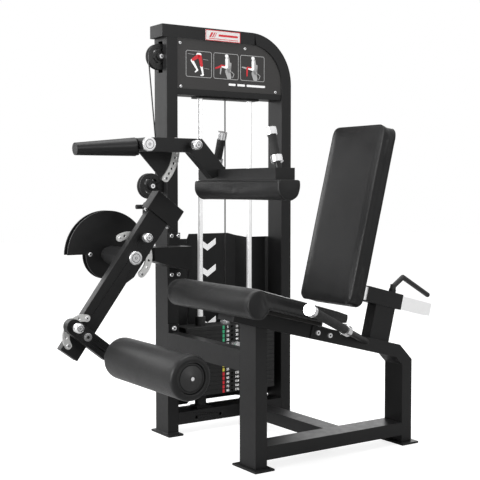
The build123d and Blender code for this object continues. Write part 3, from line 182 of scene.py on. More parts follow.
def cast_plate():
    """Painted iron plates, a little rougher than the frame, with pitting."""
    material, tree, shader = start_material("plate_paint_look", (0.017, 0.017, 0.018), 0.0, 0.55)
    where = place_coordinates(tree)
    pits = spread(tree, cells_of(tree, where, 420.0), 0.0, 0.25)
    cloud = spread(tree, noise_of(tree, where, 25.0, 6.0), 0.35, 0.7)
    body = blend_colours(tree, cloud, (0.008, 0.008, 0.008), (0.015, 0.015, 0.015))
    tree.links.new(body, shader.inputs["Base Color"])
    height = maths(tree, "ADD", pits, noise_of(tree, where, 260.0, 4.0))
    add_bump(tree, shader, height, 0.18 * MM, 0.6)
    return material


def polished(name, tint, roughness, brushing, painted_glow=0.0):
    """Plated steel: bright, with faint polishing marks and smudges. The last argument is an emission that
    paints in extra brightness: a painted glow, which the metal doesn't have of its own.
    """
    material, tree, shader = start_material(name, tint, 1.0, roughness)
    # Painted glow: emission that brightens the metal beyond its reflections.
    shader.inputs["Emission Color"].default_value = (*tint, 1)
    shader.inputs["Emission Strength"].default_value = painted_glow
    where = place_coordinates(tree, (1, 1, 18))
    smudge = noise_of(tree, place_coordinates(tree), 30.0, 2.0)
    uneven = spread(tree, smudge, 0.3, 0.75, roughness, roughness + 0.12)
    tree.links.new(uneven, shader.inputs["Roughness"])
    duller = tuple(0.86 * value for value in tint)
    shade = blend_colours(tree, spread(tree, smudge, 0.35, 0.7), tint, duller)
    tree.links.new(shade, shader.inputs["Base Color"])
    add_bump(tree, shader, noise_of(tree, where, brushing, 2.0), 0.001 * MM, 0.05)
    return material


def moulded(name, base, roughness, grain):
    """Black moulded plastic or rubber with a fine spark-eroded grain."""
    material, tree, shader = start_material(name, base, 0.0, roughness)
    where = place_coordinates(tree)
    cloud = spread(tree, noise_of(tree, where, 60.0, 4.0), 0.3, 0.7)
    lighter = tuple(1.5 * value for value in base)
    tree.links.new(blend_colours(tree, cloud, base, lighter), shader.inputs["Base Color"])
    add_bump(tree, shader, cells_of(tree, where, grain, "F1"), 0.12 * MM, 0.6)
    return material


def stippled_rubber():
    """Grip foam rubber: matte and stippled."""
    material, tree, shader = start_material("grip_rubber_look", (0.010, 0.010, 0.010), 0.0, 0.78)
    where = place_coordinates(tree)
    stipple = cells_of(tree, where, 1100.0, "F1")
    cloud = spread(tree, noise_of(tree, where, 45.0, 4.0), 0.3, 0.7)
    tree.links.new(blend_colours(tree, cloud, (0.008, 0.008, 0.008), (0.018, 0.018, 0.018)),
                   shader.inputs["Base Color"])
    add_bump(tree, shader, stipple, 0.22 * MM, 0.8)
    return material


def vinyl():
    """Black upholstery vinyl: pebbled leather grain and an uneven, soft sheen, with painted shade darkening
    the creases between the pebbles.
    """
    material, tree, shader = start_material("pad_vinyl_look", (0.008, 0.008, 0.008), 0.0, 0.38)
    where = place_coordinates(tree)
    warp = tree.nodes.new("ShaderNodeVectorMath")
    warp.operation = "MULTIPLY_ADD"
    warped = tree.nodes.new("ShaderNodeTexNoise")
    warped.inputs["Scale"].default_value = 180.0
    tree.links.new(where, warped.inputs["Vector"])
    tree.links.new(warped.outputs["Color"], warp.inputs[0])
    warp.inputs[1].default_value = (0.0015, 0.0015, 0.0015)
    tree.links.new(where, warp.inputs[2])
    pebbles = spread(tree, cells_of(tree, warp.outputs["Vector"], 520.0), 0.0, 0.16)
    fine = noise_of(tree, where, 1500.0, 2.0)
    height = maths(tree, "ADD", pebbles, maths(tree, "MULTIPLY", fine, 0.35))
    add_bump(tree, shader, height, 0.16 * MM, 0.5)
    cloud = spread(tree, noise_of(tree, where, 9.0, 5.0), 0.3, 0.72)
    body = blend_colours(tree, cloud, (0.0065, 0.0065, 0.0068), (0.011, 0.011, 0.0115))
    # Painted shade: the colour darkens toward the creases between the grain's pebbles.
    crease_shade = spread(tree, pebbles, 0.0, 0.7)
    crease_shaded_colour = blend_colours(tree, crease_shade, (0.003, 0.003, 0.003), body)
    tree.links.new(crease_shaded_colour, shader.inputs["Base Color"])
    sheen = spread(tree, noise_of(tree, where, 22.0, 4.0), 0.25, 0.75, 0.30, 0.42)
    tree.links.new(sheen, shader.inputs["Roughness"])
    shader.inputs["Sheen Weight"].default_value = 0.02
    shader.inputs["Specular IOR Level"].default_value = 0.32
    return material


def thread():
    """Twisted black sewing thread and welt cord."""
    material, tree, shader = start_material("thread_look", (0.006, 0.006, 0.006), 0.0, 0.6)
    where = place_coordinates(tree)
    twist = tree.nodes.new("ShaderNodeTexWave")
    twist.inputs["Scale"].default_value = 420.0
    twist.bands_direction = "DIAGONAL"
    tree.links.new(where, twist.inputs["Vector"])
    add_bump(tree, shader, twist.outputs["Fac"], 0.1 * MM, 0.6)
    tree.links.new(blend_colours(tree, twist.outputs["Fac"], (0.004, 0.004, 0.004), (0.012, 0.012, 0.012)),
                   shader.inputs["Base Color"])
    return material


def wire_rope():
    """Steel cable in a black nylon coat: glossy, with the strands' lay showing through."""
    material, tree, shader = start_material("coated_cable_look", (0.012, 0.012, 0.012), 0.0, 0.3)
    where = place_coordinates(tree)
    lay = tree.nodes.new("ShaderNodeTexWave")
    lay.inputs["Scale"].default_value = 150.0
    lay.bands_direction = "DIAGONAL"
    lay.inputs["Distortion"].default_value = 0.6
    tree.links.new(where, lay.inputs["Vector"])
    add_bump(tree, shader, lay.outputs["Fac"], 0.25 * MM, 0.6)
    tree.links.new(blend_colours(tree, lay.outputs["Fac"], (0.008, 0.008, 0.008), (0.022, 0.022, 0.022)),
                   shader.inputs["Base Color"])
    return material


def printed(name, colour, roughness=0.38, painted_glow=0.0):
    """Screen-printed ink or film: slight mottling and a fine grain. The last argument is an emission that
    paints in extra brightness: a painted glow, which the ink doesn't have of its own.
    """
    material, tree, shader = start_material(name, colour, 0.0, roughness)
    # Painted glow: emission that brightens the ink beyond what the lamps give.
    shader.inputs["Emission Color"].default_value = (*colour, 1)
    shader.inputs["Emission Strength"].default_value = painted_glow
    where = place_coordinates(tree)
    mottle = spread(tree, noise_of(tree, where, 160.0, 4.0), 0.3, 0.7)
    darker = tuple(0.88 * value for value in colour)
    tree.links.new(blend_colours(tree, mottle, colour, darker), shader.inputs["Base Color"])
    add_bump(tree, shader, noise_of(tree, where, 1300.0, 2.0), 0.05 * MM, 0.4)
    return material


def ply():
    """Plywood edges stained black, with thin layers."""
    material, tree, shader = start_material("plywood_look", (0.02, 0.016, 0.012), 0.0, 0.7)
    layers = noise_of(tree, place_coordinates(tree, (1, 1, 14)), 60.0, 6.0, 0.6)
    body = blend_colours(tree, spread(tree, layers, 0.35, 0.65), (0.005, 0.005, 0.005), (0.014, 0.012, 0.010))
    tree.links.new(body, shader.inputs["Base Color"])
    add_bump(tree, shader, layers, 0.3 * MM, 0.6)
    return material


def pale_floor():
    """Pale floor. It glows a little for the camera only, so that it meets the white backdrop."""
    material, tree, shader = start_material("floor_look", (0.86, 0.86, 0.86), 0.0, 0.7)
    where = place_coordinates(tree)
    mottle = spread(tree, noise_of(tree, where, 3.0, 5.0), 0.3, 0.7)
    body = blend_colours(tree, mottle, (0.62, 0.62, 0.62), (0.60, 0.60, 0.60))
    tree.links.new(body, shader.inputs["Base Color"])
    path = tree.nodes.new("ShaderNodeLightPath")
    glow = spread(tree, path.outputs["Is Camera Ray"], 0, 1, 0.0, 0.80)
    shader.inputs["Emission Color"].default_value = (1, 1, 1, 1)
    tree.links.new(glow, shader.inputs["Emission Strength"])
    return material


INK_PAINTED_GLOW = 0.28  # painted glow: emission on the printed ink, so that it stands out from the dark metal

SATIN_BLACK = (0.0115, 0.0115, 0.0118)
RUBBED_GREY = (0.07, 0.07, 0.07)

looks = {
    "frame_paint": powder_coat("frame_paint_look", SATIN_BLACK, RUBBED_GREY, 0.38, 700.0, 0.45),
    "plate_paint": cast_plate(),
    # chrome_look carries a painted glow of 0.10 on top of its reflections.
    "chrome_parts": polished("chrome_look", (0.86, 0.86, 0.87), 0.14, 30.0, 0.10),
    "bearing_steel": polished("bearing_steel_look", (0.55, 0.55, 0.56), 0.28, 300.0),
    "coated_cable": wire_rope(),
    "black_plastic": moulded("black_plastic_look", (0.010, 0.010, 0.010), 0.45, 900.0),
    "placard_face": printed("placard_look", (0.040, 0.038, 0.037), 0.42),
    # The badge's white carries the painted ink glow.
    "badge_face": printed("badge_look", (0.85, 0.83, 0.82), 0.3, INK_PAINTED_GLOW),
    "grip_rubber": stippled_rubber(),
    "pad_vinyl": vinyl(),
    "plywood": ply(),
}
thread_look = thread()
# The inks below, all but the black, carry the painted ink glow; the white twice over.
white_ink = printed("white_ink_look", (0.86, 0.86, 0.86), 0.38, 2 * INK_PAINTED_GLOW)
grey_ink = printed("grey_ink_look", (0.46, 0.46, 0.46), 0.38, INK_PAINTED_GLOW)
red_ink = printed("red_ink_look", (0.66, 0.03, 0.04), 0.38, INK_PAINTED_GLOW)
yellow_ink = printed("yellow_ink_look", (0.72, 0.62, 0.08), 0.38, INK_PAINTED_GLOW)
green_ink = printed("green_ink_look", (0.05, 0.42, 0.20), 0.38, INK_PAINTED_GLOW)
# Near-black used only as painted shade: in the bolt sockets and on the caps' grooves.
painted_shade_black = printed("painted_shade_black_look", (0.004, 0.004, 0.004), 0.7)
weld_look = powder_coat("weld_look", (0.016, 0.016, 0.0165), (0.06, 0.06, 0.06), 0.36, 500.0, 0.2)


# ------------------------------------------------------- CAD nodes' surfaces
EDGE_ROUND = {
    "chrome_parts": 0.5 * MM,
    "coated_cable": 0.0,
    "placard_face": 0.4 * MM,
    "badge_face": 0.4 * MM,
    "plate_paint": 1.6 * MM,
    "grip_rubber": 1.0 * MM,
    "black_plastic": 0.7 * MM,
    "bearing_steel": 0.5 * MM,
}
PLAIN_ROUND = 1.4 * MM
SHARP = math.radians(38)


def soften_edges(node, width):
    """Rounds the sheet and tube edges so that they catch the light, as coated metal does."""
    weld = node.modifiers.new("Weld", "WELD")
    weld.merge_threshold = 0.01 * MM
    if width:
        bevel = node.modifiers.new("Bevel", "BEVEL")
        bevel.width = width
        bevel.segments = 2
        bevel.limit_method = "ANGLE"
        bevel.angle_limit = SHARP
        bevel.harden_normals = False
        bevel.miter_outer = "MITER_ARC"
    normals = node.modifiers.new("Normals", "WEIGHTED_NORMAL")
    normals.keep_sharp = False
    normals.weight = 60


SATIN_NODES = ("start_index_plate", "roller_index_plate", "thigh_index_plate")
BRIGHT_NODES = ("back_slide_tube", "guide_rods")
# Both carry a painted glow, an emission that brightens them beyond what the lamps give; the bright chrome
# most.
satin_zinc = polished("satin_zinc_look", (0.72, 0.72, 0.71), 0.34, 30.0, 0.14)
bright_chrome = polished("bright_chrome_look", (0.96, 0.96, 0.96), 0.30, 30.0, 0.30)

for name, node in nodes.items():
    slot_name = node.data.materials[0].name.split(".")[0]
    node.data.materials[0] = looks[slot_name]
    if name in SATIN_NODES:
        node.data.materials[0] = satin_zinc
    if name in BRIGHT_NODES:
        node.data.materials[0] = bright_chrome
    soften_edges(node, EDGE_ROUND.get(slot_name, PLAIN_ROUND))


# ------------------------------------------------------------ building tools
def add_piece(name, mesh, look, body):
    piece = bpy.data.objects.new(name, mesh)
    bpy.context.scene.collection.objects.link(piece)
    mesh.materials.clear()
    mesh.materials.append(look)
    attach(piece, body)
    return piece


def middle(node):
    low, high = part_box(node)
    return (low + high) / 2


def finished_mesh(piece):
    """The piece's mesh with its modifiers applied."""
    bpy.context.view_layer.update()
    graph = bpy.context.evaluated_depsgraph_get()
    return bpy.data.meshes.new_from_object(piece.evaluated_get(graph))


def surface_tree(piece):
    """A search tree over the piece's finished surface."""
    surface = finished_mesh(piece)
    return BVHTree.FromPolygons([vert.co for vert in surface.vertices],
                                [polygon.vertices[:] for polygon in surface.polygons])


def mesh_data(name, mesh):
    """Blender mesh data from a bmesh, with its faces turned outward."""
    bmesh.ops.recalc_face_normals(mesh, faces=mesh.faces)
    data = bpy.data.meshes.new(name)
    mesh.to_mesh(data)
    mesh.free()
    return data


def coordinates(mesh):
    flat = np.zeros(len(mesh.vertices) * 3)
    mesh.vertices.foreach_get("co", flat)
    return flat.reshape(-1, 3)


def set_coordinates(mesh, points):
    mesh.vertices.foreach_set("co", points.reshape(-1))
    mesh.update()


def vertex_normals(mesh):
    flat = np.zeros(len(mesh.vertices) * 3)
    mesh.vertex_normals.foreach_get("vector", flat)
    return flat.reshape(-1, 3)


# -------------------------------------------------------- sewn panel edges
SEAM_STEP = 7 * MM
SEAM_RADIUS = 1.8 * MM
SEAM_PULL = 30 * MM  # how far from a seam the cover is still held back
PANEL_EDGE = math.radians(50)


def panel_edges(node):
    """Chains of points along the edges where a pad's cover panels are sewn together."""
    mesh = bmesh.new()
    mesh.from_mesh(nodes[node].data)
    bmesh.ops.remove_doubles(mesh, verts=mesh.verts, dist=0.01 * MM)
    sewn = {edge for edge in mesh.edges
            if len(edge.link_faces) == 2 and edge.calc_face_angle(0) > PANEL_EDGE}
    chains = []
    while sewn:
        edge = min(sewn, key=lambda item: item.index)
        sewn.remove(edge)
        chain = [edge.verts[0], edge.verts[1]]
        while True:
            onward = [item for item in chain[-1].link_edges if item in sewn]
            if not onward:
                break
            edge = min(onward, key=lambda item: item.index)
            sewn.remove(edge)
            chain.append(edge.other_vert(chain[-1]))
        chains.append([vert.co.copy() for vert in chain])
    mesh.free()
    return chains


def spaced(chain):
    """The chain's points with more added, so that none is further than one step from the next."""
    points = []
    for start, end in zip(chain, chain[1:]):
        count = max(1, int((end - start).length / SEAM_STEP))
        points += [start.lerp(end, index / count) for index in range(count)]
    return points + [chain[-1]]


# ------------------------------------------------------------------ cushions
SLOPE = math.radians(14.3)
UP_SLOPE = np.array((math.sin(SLOPE), 0, math.cos(SLOPE)))  # square to the seat beam
ALONG_SLOPE = np.array((math.cos(SLOPE), 0, -math.sin(SLOPE)))  # down the seat beam
VOXEL = 5 * MM
PRESSURE = 4.0
SIM_FRAMES = 20


def remeshed(node, name):
    piece = bpy.data.objects.new(name, nodes[node].data.copy())
    bpy.context.scene.collection.objects.link(piece)
    remesh = piece.modifiers.new("Remesh", "REMESH")
    remesh.mode = "VOXEL"
    remesh.voxel_size = VOXEL
    piece.data = finished_mesh(piece)
    piece.modifiers.clear()
    return piece


def inflate(piece, cap, held):
    """Swells the piece with cloth pressure. No point goes further than cap, or further than held allows."""
    start = coordinates(piece.data)
    cloth = piece.modifiers.new("Cloth", "CLOTH")
    cloth.settings.quality = 5
    cloth.settings.mass = 0.3
    cloth.settings.tension_stiffness = 20
    cloth.settings.compression_stiffness = 20
    cloth.settings.shear_stiffness = 10
    cloth.settings.bending_stiffness = 6.0
    cloth.settings.use_pressure = True
    cloth.settings.uniform_pressure_force = PRESSURE
    cloth.settings.effector_weights.gravity = 0
    cloth.collision_settings.use_collision = False
    for step in range(1, SIM_FRAMES + 1):
        bpy.context.scene.frame_set(step)
    swollen = coordinates(finished_mesh(piece))
    piece.modifiers.remove(cloth)
    bpy.context.scene.frame_set(1)
    moved = swollen - start
    length = np.linalg.norm(moved, axis=1, keepdims=True)
    moved *= np.minimum(1, cap / np.maximum(length, 1e-9))
    set_coordinates(piece.data, start + moved * (1 - held[:, None]))


def smoothed(piece, rounds, share=0.5):
    """Evens out the mesh by moving points toward their neighbours' middle."""
    mesh = bmesh.new()
    mesh.from_mesh(piece.data)
    for _ in range(rounds):
        bmesh.ops.smooth_vert(mesh, verts=mesh.verts, factor=share,
                              use_axis_x=True, use_axis_y=True, use_axis_z=True)
    mesh.to_mesh(piece.data)
    mesh.free()


def cushion(node, name, body, inset, cap, resting):
    """A crowned pad in the space of a CAD solid. resting gives, for each point and normal, how
    firmly it is held: 1 where the pad lies on its board."""
    piece = remeshed(node, name)
    smoothed(piece, 2)
    start = coordinates(piece.data)
    normals = vertex_normals(piece.data)
    held = np.clip(resting(start, normals), 0, 1)
    set_coordinates(piece.data, start - normals * inset * (1 - held[:, None]))
    inflate(piece, cap, held)
    smoothed(piece, 2, 0.4)
    piece.data.materials.clear()
    piece.data.materials.append(looks["pad_vinyl"])
    for polygon in piece.data.polygons:
        polygon.use_smooth = True
    finer = piece.modifiers.new("Subdivision", "SUBSURF")
    finer.levels = 1
    finer.render_levels = 1
    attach(piece, body)
    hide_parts(node)
    return piece


def facing(normals, direction, low, high):
    """0 to 1 as a normal turns toward direction."""
    return np.clip((normals @ np.array(direction) - low) / (high - low), 0, 1)


def near_seams(node, points, reach):
    """1 on a pad's panel edges, falling to 0 at reach from them."""
    sewn = [point for chain in panel_edges(node) for point in spaced(chain)]
    tree = KDTree(len(sewn))
    for index, point in enumerate(sewn):
        tree.insert(point, index)
    tree.balance()
    away = np.array([tree.find(Vector(point))[2] for point in points])
    return 1 - np.clip(away / reach, 0, 1)


def on_board(node, direction):
    """Held flat where the pad rests on its board, and mostly held along its seams."""
    def held(points, normals):
        return np.maximum(facing(normals, direction, 0.6, 0.95), 0.85 * near_seams(node, points, SEAM_PULL))
    return held


def on_core(points, normals):
    """The roller's foam is held where it grips its core, inside its bore."""
    centre = middle("foot_roller")
    reach = np.hypot(points[:, 0] - centre.x, points[:, 2] - centre.z)
    bore = (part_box("roller_core")[1].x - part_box("roller_core")[0].x) / 2
    return np.clip((bore + 10 * MM - reach) / (6 * MM), 0, 1)


back_cushion = cushion("back_pad", "back_cushion", "backrest", 1 * MM, 3.5 * MM,
                       on_board("back_pad", ALONG_SLOPE))
seat_cushion = cushion("seat_pad", "seat_cushion", "frame", 1.5 * MM, 5 * MM,
                       on_board("seat_pad", -UP_SLOPE))
thigh_cushion = cushion("thigh_pad", "thigh_cushion", "thigh_arm", 1.5 * MM, 4 * MM,
                        on_board("thigh_pad", (0, 0, 1)))
roller_cushion = cushion("foot_roller", "roller_cushion", "roller", 1 * MM, 2.5 * MM, on_core)


# --------------------------------------------------------------------- seams
def tube_curve(name, paths, radius, look, body, wobble=0.0):
    """One curve object holding a round cord along each path."""
    curve = bpy.data.curves.new(name, "CURVE")
    curve.dimensions = "3D"
    curve.bevel_depth = radius
    curve.bevel_resolution = 3
    for points, closed in paths:
        line = curve.splines.new("POLY")
        line.points.add(len(points) - 1)
        for index, point in enumerate(points):
            line.points[index].co = (*point, 1)
            line.points[index].radius = 1 + wobble * math.sin(index * 1.9)
        line.use_cyclic_u = closed
    curve.materials.append(look)
    piece = bpy.data.objects.new(name, curve)
    bpy.context.scene.collection.objects.link(piece)
    mesh = finished_mesh(piece)
    bpy.data.objects.remove(piece)
    for polygon in mesh.polygons:
        polygon.use_smooth = True
    return add_piece(name, mesh, look, body)


def seams(node, cover, body, skip=None):
    """Sewn welts laid on the finished cushion along its panel edges."""
    tree = surface_tree(cover)
    paths = []
    for chain in panel_edges(node):
        if skip and all(skip(point) for point in chain):
            continue
        closed = (chain[0] - chain[-1]).length < 0.1 * MM
        points = []
        for point in spaced(chain)[:-1] if closed else spaced(chain):
            place, normal, _, _ = tree.find_nearest(point)
            points.append(place + normal * 0.4 * SEAM_RADIUS)
        for _ in range(2):
            count = len(points)
            ends = 0 if closed else 1
            points = [points[i] if i < ends or i >= count - ends
                      else (points[i - 1] + 2 * points[i] + points[(i + 1) % count]) / 4
                      for i in range(count)]
        paths.append((points, closed))
    tube_curve(cover.name + "_seams", paths, SEAM_RADIUS, thread_look, body)


seams("back_pad", back_cushion, "backrest")
seams("seat_pad", seat_cushion, "frame")
seams("thigh_pad", thigh_cushion, "thigh_arm")
roller_middle = middle("foot_roller")
bore_reach = (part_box("roller_core")[1].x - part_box("roller_core")[0].x) / 2 + 2 * MM
seams("foot_roller", roller_cushion, "roller",
      skip=lambda p: math.hypot(p.x - roller_middle.x, p.z - roller_middle.z) < bore_reach)


# ---------------------------------------------------------- printed graphics
INK_THICK = 0.35 * MM


def flat_shape(mesh, outline, face_y):
    """A thin inked shape standing on a face that looks toward -Y. outline holds (x, z) points."""
    front = [mesh.verts.new((x, face_y - INK_THICK, z)) for x, z in outline]
    back = [mesh.verts.new((x, face_y + 0.02 * MM, z)) for x, z in outline]
    mesh.faces.new(front)
    mesh.faces.new(back[::-1])
    count = len(outline)
    for i in range(count):
        j = (i + 1) % count
        mesh.faces.new((front[i], back[i], back[j], front[j]))


def ring_shape(mesh, outer, inner, face_y):
    """A thin inked band between two outlines with the same number of points."""
    loops = []
    for outline, y in ((outer, face_y - INK_THICK), (inner, face_y - INK_THICK),
                       (inner, face_y + 0.02 * MM), (outer, face_y + 0.02 * MM)):
        loops.append([mesh.verts.new((x, y, z)) for x, z in outline])
    count = len(outer)
    for a, b in zip(loops, loops[1:] + loops[:1]):
        for i in range(count):
            j = (i + 1) % count
            mesh.faces.new((a[i], b[i], b[j], a[j]))


def rounded_rectangle(x0, x1, z0, z1, radius, steps=6):
    points = []
    for cx, cz, start in ((x1 - radius, z1 - radius, 0), (x0 + radius, z1 - radius, 90),
                          (x0 + radius, z0 + radius, 180), (x1 - radius, z0 + radius, 270)):
        for step in range(steps + 1):
            angle = math.radians(start + 90 * step / steps)
            points.append((cx + radius * math.cos(angle), cz + radius * math.sin(angle)))
    return points


def limb(start, end, start_radius, end_radius, steps=8):
    """Outline of a rounded stroke that tapers from one radius to another."""
    turn = math.atan2(end[1] - start[1], end[0] - start[0])
    points = []
    ends = ((end, end_radius, turn - math.pi / 2), (start, start_radius, turn + math.pi / 2))
    for (cx, cz), radius, first in ends:
        for step in range(steps + 1):
            angle = first + math.pi * step / steps
            points.append((cx + radius * math.cos(angle), cz + radius * math.sin(angle)))
    return points


def printed_piece(name, shapes, face_y, look, body):
    """One piece of ink. shapes holds outlines, or pairs of outlines for a band."""
    mesh = bmesh.new()
    for shape in shapes:
        if isinstance(shape[0][0], tuple):
            ring_shape(mesh, shape[0], shape[1], face_y)
        else:
            flat_shape(mesh, shape, face_y)
    return add_piece(name, mesh_data(name, mesh), look, body)


panel_low, panel_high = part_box("placard_panel")
PICTURE_LEFT = panel_low.x + 40 * MM
PICTURE_PITCH = 132 * MM
PICTURE_WIDE = 123 * MM
PICTURE_LOW = panel_low.z + 49 * MM
PICTURE_HIGH = panel_high.z - 44 * MM
PICTURE_CORNER = 9 * MM
PICTURE_LINE = 2.2 * MM


def picture_frames():
    frames = []
    for index in range(3):
        x0 = PICTURE_LEFT + index * PICTURE_PITCH
        x1 = x0 + PICTURE_WIDE
        line = PICTURE_LINE
        outer = rounded_rectangle(x0, x1, PICTURE_LOW, PICTURE_HIGH, PICTURE_CORNER)
        inner = rounded_rectangle(x0 + line, x1 - line, PICTURE_LOW + line, PICTURE_HIGH - line,
                                  PICTURE_CORNER - line)
        frames.append((outer, inner))
    return frames


def in_picture(index, across, up):
    """A point in one of the three pictures, as shares of its width and height."""
    return (PICTURE_LEFT + index * PICTURE_PITCH + across * PICTURE_WIDE,
            PICTURE_LOW + up * (PICTURE_HIGH - PICTURE_LOW))


def strokes(index, lines):
    """Rounded strokes in one picture. Radii are in millimetres."""
    return [limb(in_picture(index, *start), in_picture(index, *end), r0 * MM, r1 * MM)
            for start, end, r0, r1 in lines]


def leg_picture():
    """Two plain legs, with the working muscles in red and three pointer lines."""
    calves = strokes(0, (((0.24, 0.62), (0.44, 0.28), 6.5, 3.5), ((0.60, 0.42), (0.66, 0.12), 6.0, 3.2),
                         ((0.44, 0.27), (0.36, 0.20), 3.4, 2.6), ((0.66, 0.10), (0.58, 0.08), 3.2, 2.4),
                         ((0.46, 0.86), (0.54, 0.86), 7.0, 7.0)))
    thighs = strokes(0, (((0.47, 0.80), (0.27, 0.66), 7.5, 6.0), ((0.54, 0.78), (0.60, 0.46), 8.5, 6.5)))
    pointers = strokes(0, (((0.08, 0.87), (0.32, 0.85), 0.7, 0.7), ((0.66, 0.70), (0.86, 0.68), 0.7, 0.7),
                           ((0.72, 0.36), (0.90, 0.34), 0.7, 0.7)))
    return calves, thighs, pointers


def machine_picture(index, knee_high):
    """A plain seated figure on a machine: pale seat and body, red working leg."""
    base = strokes(index, (((0.55, 0.80), (0.62, 0.34), 9.5, 9.5), ((0.56, 0.30), (0.62, 0.10), 12.0, 11.0),
                           ((0.68, 0.62), (0.66, 0.40), 4.0, 4.0), ((0.72, 0.30), (0.82, 0.22), 1.5, 1.5),
                           ((0.82, 0.22), (0.76, 0.08), 1.5, 1.5)))
    body = strokes(index, (((0.51, 0.90), (0.53, 0.90), 7.0, 7.0), ((0.52, 0.76), (0.52, 0.50), 7.0, 6.0),
                           ((0.50, 0.46), (0.32, 0.50), 5.5, 5.0)))
    shin_low = (0.27, 0.20)
    shin_out = (0.08, 0.52 if knee_high else 0.40)
    shin = strokes(index, (((0.30, 0.48), shin_out if knee_high else shin_low, 4.0, 2.6),))
    swing = strokes(index, (((0.28, 0.48), shin_low if knee_high else shin_out, 4.5, 3.0),
                            ((0.30, 0.53), (0.44, 0.52), 3.0, 2.4)))
    return base + shin, body, swing


BAR_START = 206 * MM
BAR_LOW = 24 * MM
BAR_TALL = 9 * MM
BAR_GAP = 9 * MM
BAR_WIDTHS = (34 * MM, 38 * MM, 94 * MM)
BAR_CORNER = 2.5 * MM


def title_bars():
    """Plain bars where a name would be printed."""
    bars = []
    x = PICTURE_LEFT + BAR_START
    low = panel_low.z + BAR_LOW
    for wide in BAR_WIDTHS:
        bars.append(rounded_rectangle(x, x + wide, low, low + BAR_TALL, BAR_CORNER))
        x += wide + BAR_GAP
    return bars


def placard_graphics():
    calves, thighs, pointers = leg_picture()
    grey, white, red = picture_frames() + pointers, calves + title_bars(), thighs
    for index, knee_high in ((1, False), (2, True)):
        base, body, swing = machine_picture(index, knee_high)
        grey += base
        white += body
        red += swing
    face = panel_low.y
    printed_piece("placard_grey_print", grey, face, grey_ink, "frame")
    printed_piece("placard_white_print", white, face - INK_THICK, white_ink, "frame")
    printed_piece("placard_red_print", red, face - 2 * INK_THICK, red_ink, "frame")


placard_graphics()


BADGE_RIM = 2.5 * MM
BADGE_MARGIN = 12 * MM
STROKE_LEAN = 12 * MM
STROKE_PLACES = ((16 * MM, 9 * MM), (30 * MM, 5 * MM), (40 * MM, 3 * MM))  # start, width
BLOCK_START = 62 * MM
BLOCK_INSET = 6 * MM


def badge_graphics():
    """A red rim, plain slanted strokes, a block and an underline, with no lettering."""
    low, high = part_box("badge_plate")
    rim = BADGE_RIM
    outer = rounded_rectangle(low.x, high.x, low.z, high.z, 2 * MM)
    inner = rounded_rectangle(low.x + rim, high.x - rim, low.z + rim, high.z - rim, 1 * MM)
    shapes = [(outer, inner)]
    tall = high.z - low.z
    foot = low.z + 0.30 * tall
    head = high.z - 0.22 * tall
    for start, wide in STROKE_PLACES:
        x = low.x + start
        shapes.append([(x, foot), (x + wide, foot), (x + wide + STROKE_LEAN, head), (x + STROKE_LEAN, head)])
    right = high.x - BADGE_MARGIN
    shapes.append(rounded_rectangle(low.x + BLOCK_START, right,
                                    foot + BLOCK_INSET, head - BLOCK_INSET, 3 * MM))
    underline = low.x + STROKE_PLACES[0][0]
    shapes.append(rounded_rectangle(underline, right, foot - 6 * MM, foot - 3.5 * MM, 1 * MM))
    printed_piece("badge_red_print", shapes, low.y, red_ink, "frame")


badge_graphics()


# -------------------------------------------------------- weight stack marks
PLATE_PITCH = 17.8 * MM
PLATE_THICK = 17.5 * MM
PLATE_COUNT = 16
stack_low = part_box("resting_plates")[0]
stack_middle = middle("top_plate").x
STRIP_HALF = 5 * MM
STRIP_OFFSET = -43 * MM
NUMBER_OFFSETS = ((-22 * MM, 5), (24 * MM, 11))  # kilograms on the left, pounds on the right
NUMBER_SIZE = 13.5 * MM


def plate_middle(index):
    """Height of a plate's middle. Plate 0 is the top plate."""
    return stack_low.z + (PLATE_COUNT - 1 - index) * PLATE_PITCH + PLATE_THICK / 2


def plate_strip(name, indices, look, body):
    tall = PLATE_THICK / 2 - 1.8 * MM
    x = stack_middle + STRIP_OFFSET
    shapes = [rounded_rectangle(x - STRIP_HALF, x + STRIP_HALF, plate_middle(i) - tall,
                                plate_middle(i) + tall, 0.8 * MM, 2) for i in indices]
    printed_piece(name, shapes, stack_low.y, look, body)


def plate_numbers(name, indices, body):
    """The plates' weights as raised ink digits."""
    joined = bmesh.new()
    for index in indices:
        for offset, step in NUMBER_OFFSETS:
            text = bpy.data.curves.new("digits", "FONT")
            text.body = str(step * (index + 1))
            text.size = NUMBER_SIZE
            text.align_x = "CENTER"
            text.align_y = "CENTER"
            text.extrude = INK_THICK / 2
            text.offset = 0.25 * MM
            holder = bpy.data.objects.new("digits", text)
            bpy.context.scene.collection.objects.link(holder)
            mesh = finished_mesh(holder)
            bpy.data.objects.remove(holder)
            place = Vector((stack_middle + offset, stack_low.y - INK_THICK / 2, plate_middle(index)))
            mesh.transform(Matrix.Translation(place) @ Matrix.Rotation(math.pi / 2, 4, "X"))
            joined.from_mesh(mesh)
    data = bpy.data.meshes.new(name)
    joined.to_mesh(data)
    joined.free()
    add_piece(name, data, white_ink, body)


LIFTED = range(0, 5)
RESTING = range(5, PLATE_COUNT)
RED_FROM = 11
plate_strip("stack_strip_green", LIFTED, green_ink, "stack")
plate_strip("rest_strip_yellow", range(5, RED_FROM), yellow_ink, "frame")
plate_strip("rest_strip_red", range(RED_FROM, PLATE_COUNT), red_ink, "frame")
plate_numbers("stack_numbers", LIFTED, "stack")
plate_numbers("rest_numbers", RESTING, "frame")


# -------------------------------------------------------------- shroud marks
CHEVRON_COUNT = 5
CHEVRON_PITCH = 112 * MM
CHEVRON_TOP = 640 * MM  # above the shroud's lower edge
CHEVRON_MIDDLE = 276 * MM  # from the shroud's left edge
CHEVRON_WIDE = 84 * MM
CHEVRON_STROKE = 26 * MM
CHEVRON_RISE = 0.6 * 46 * MM
CHEVRON_COLUMNS = 12


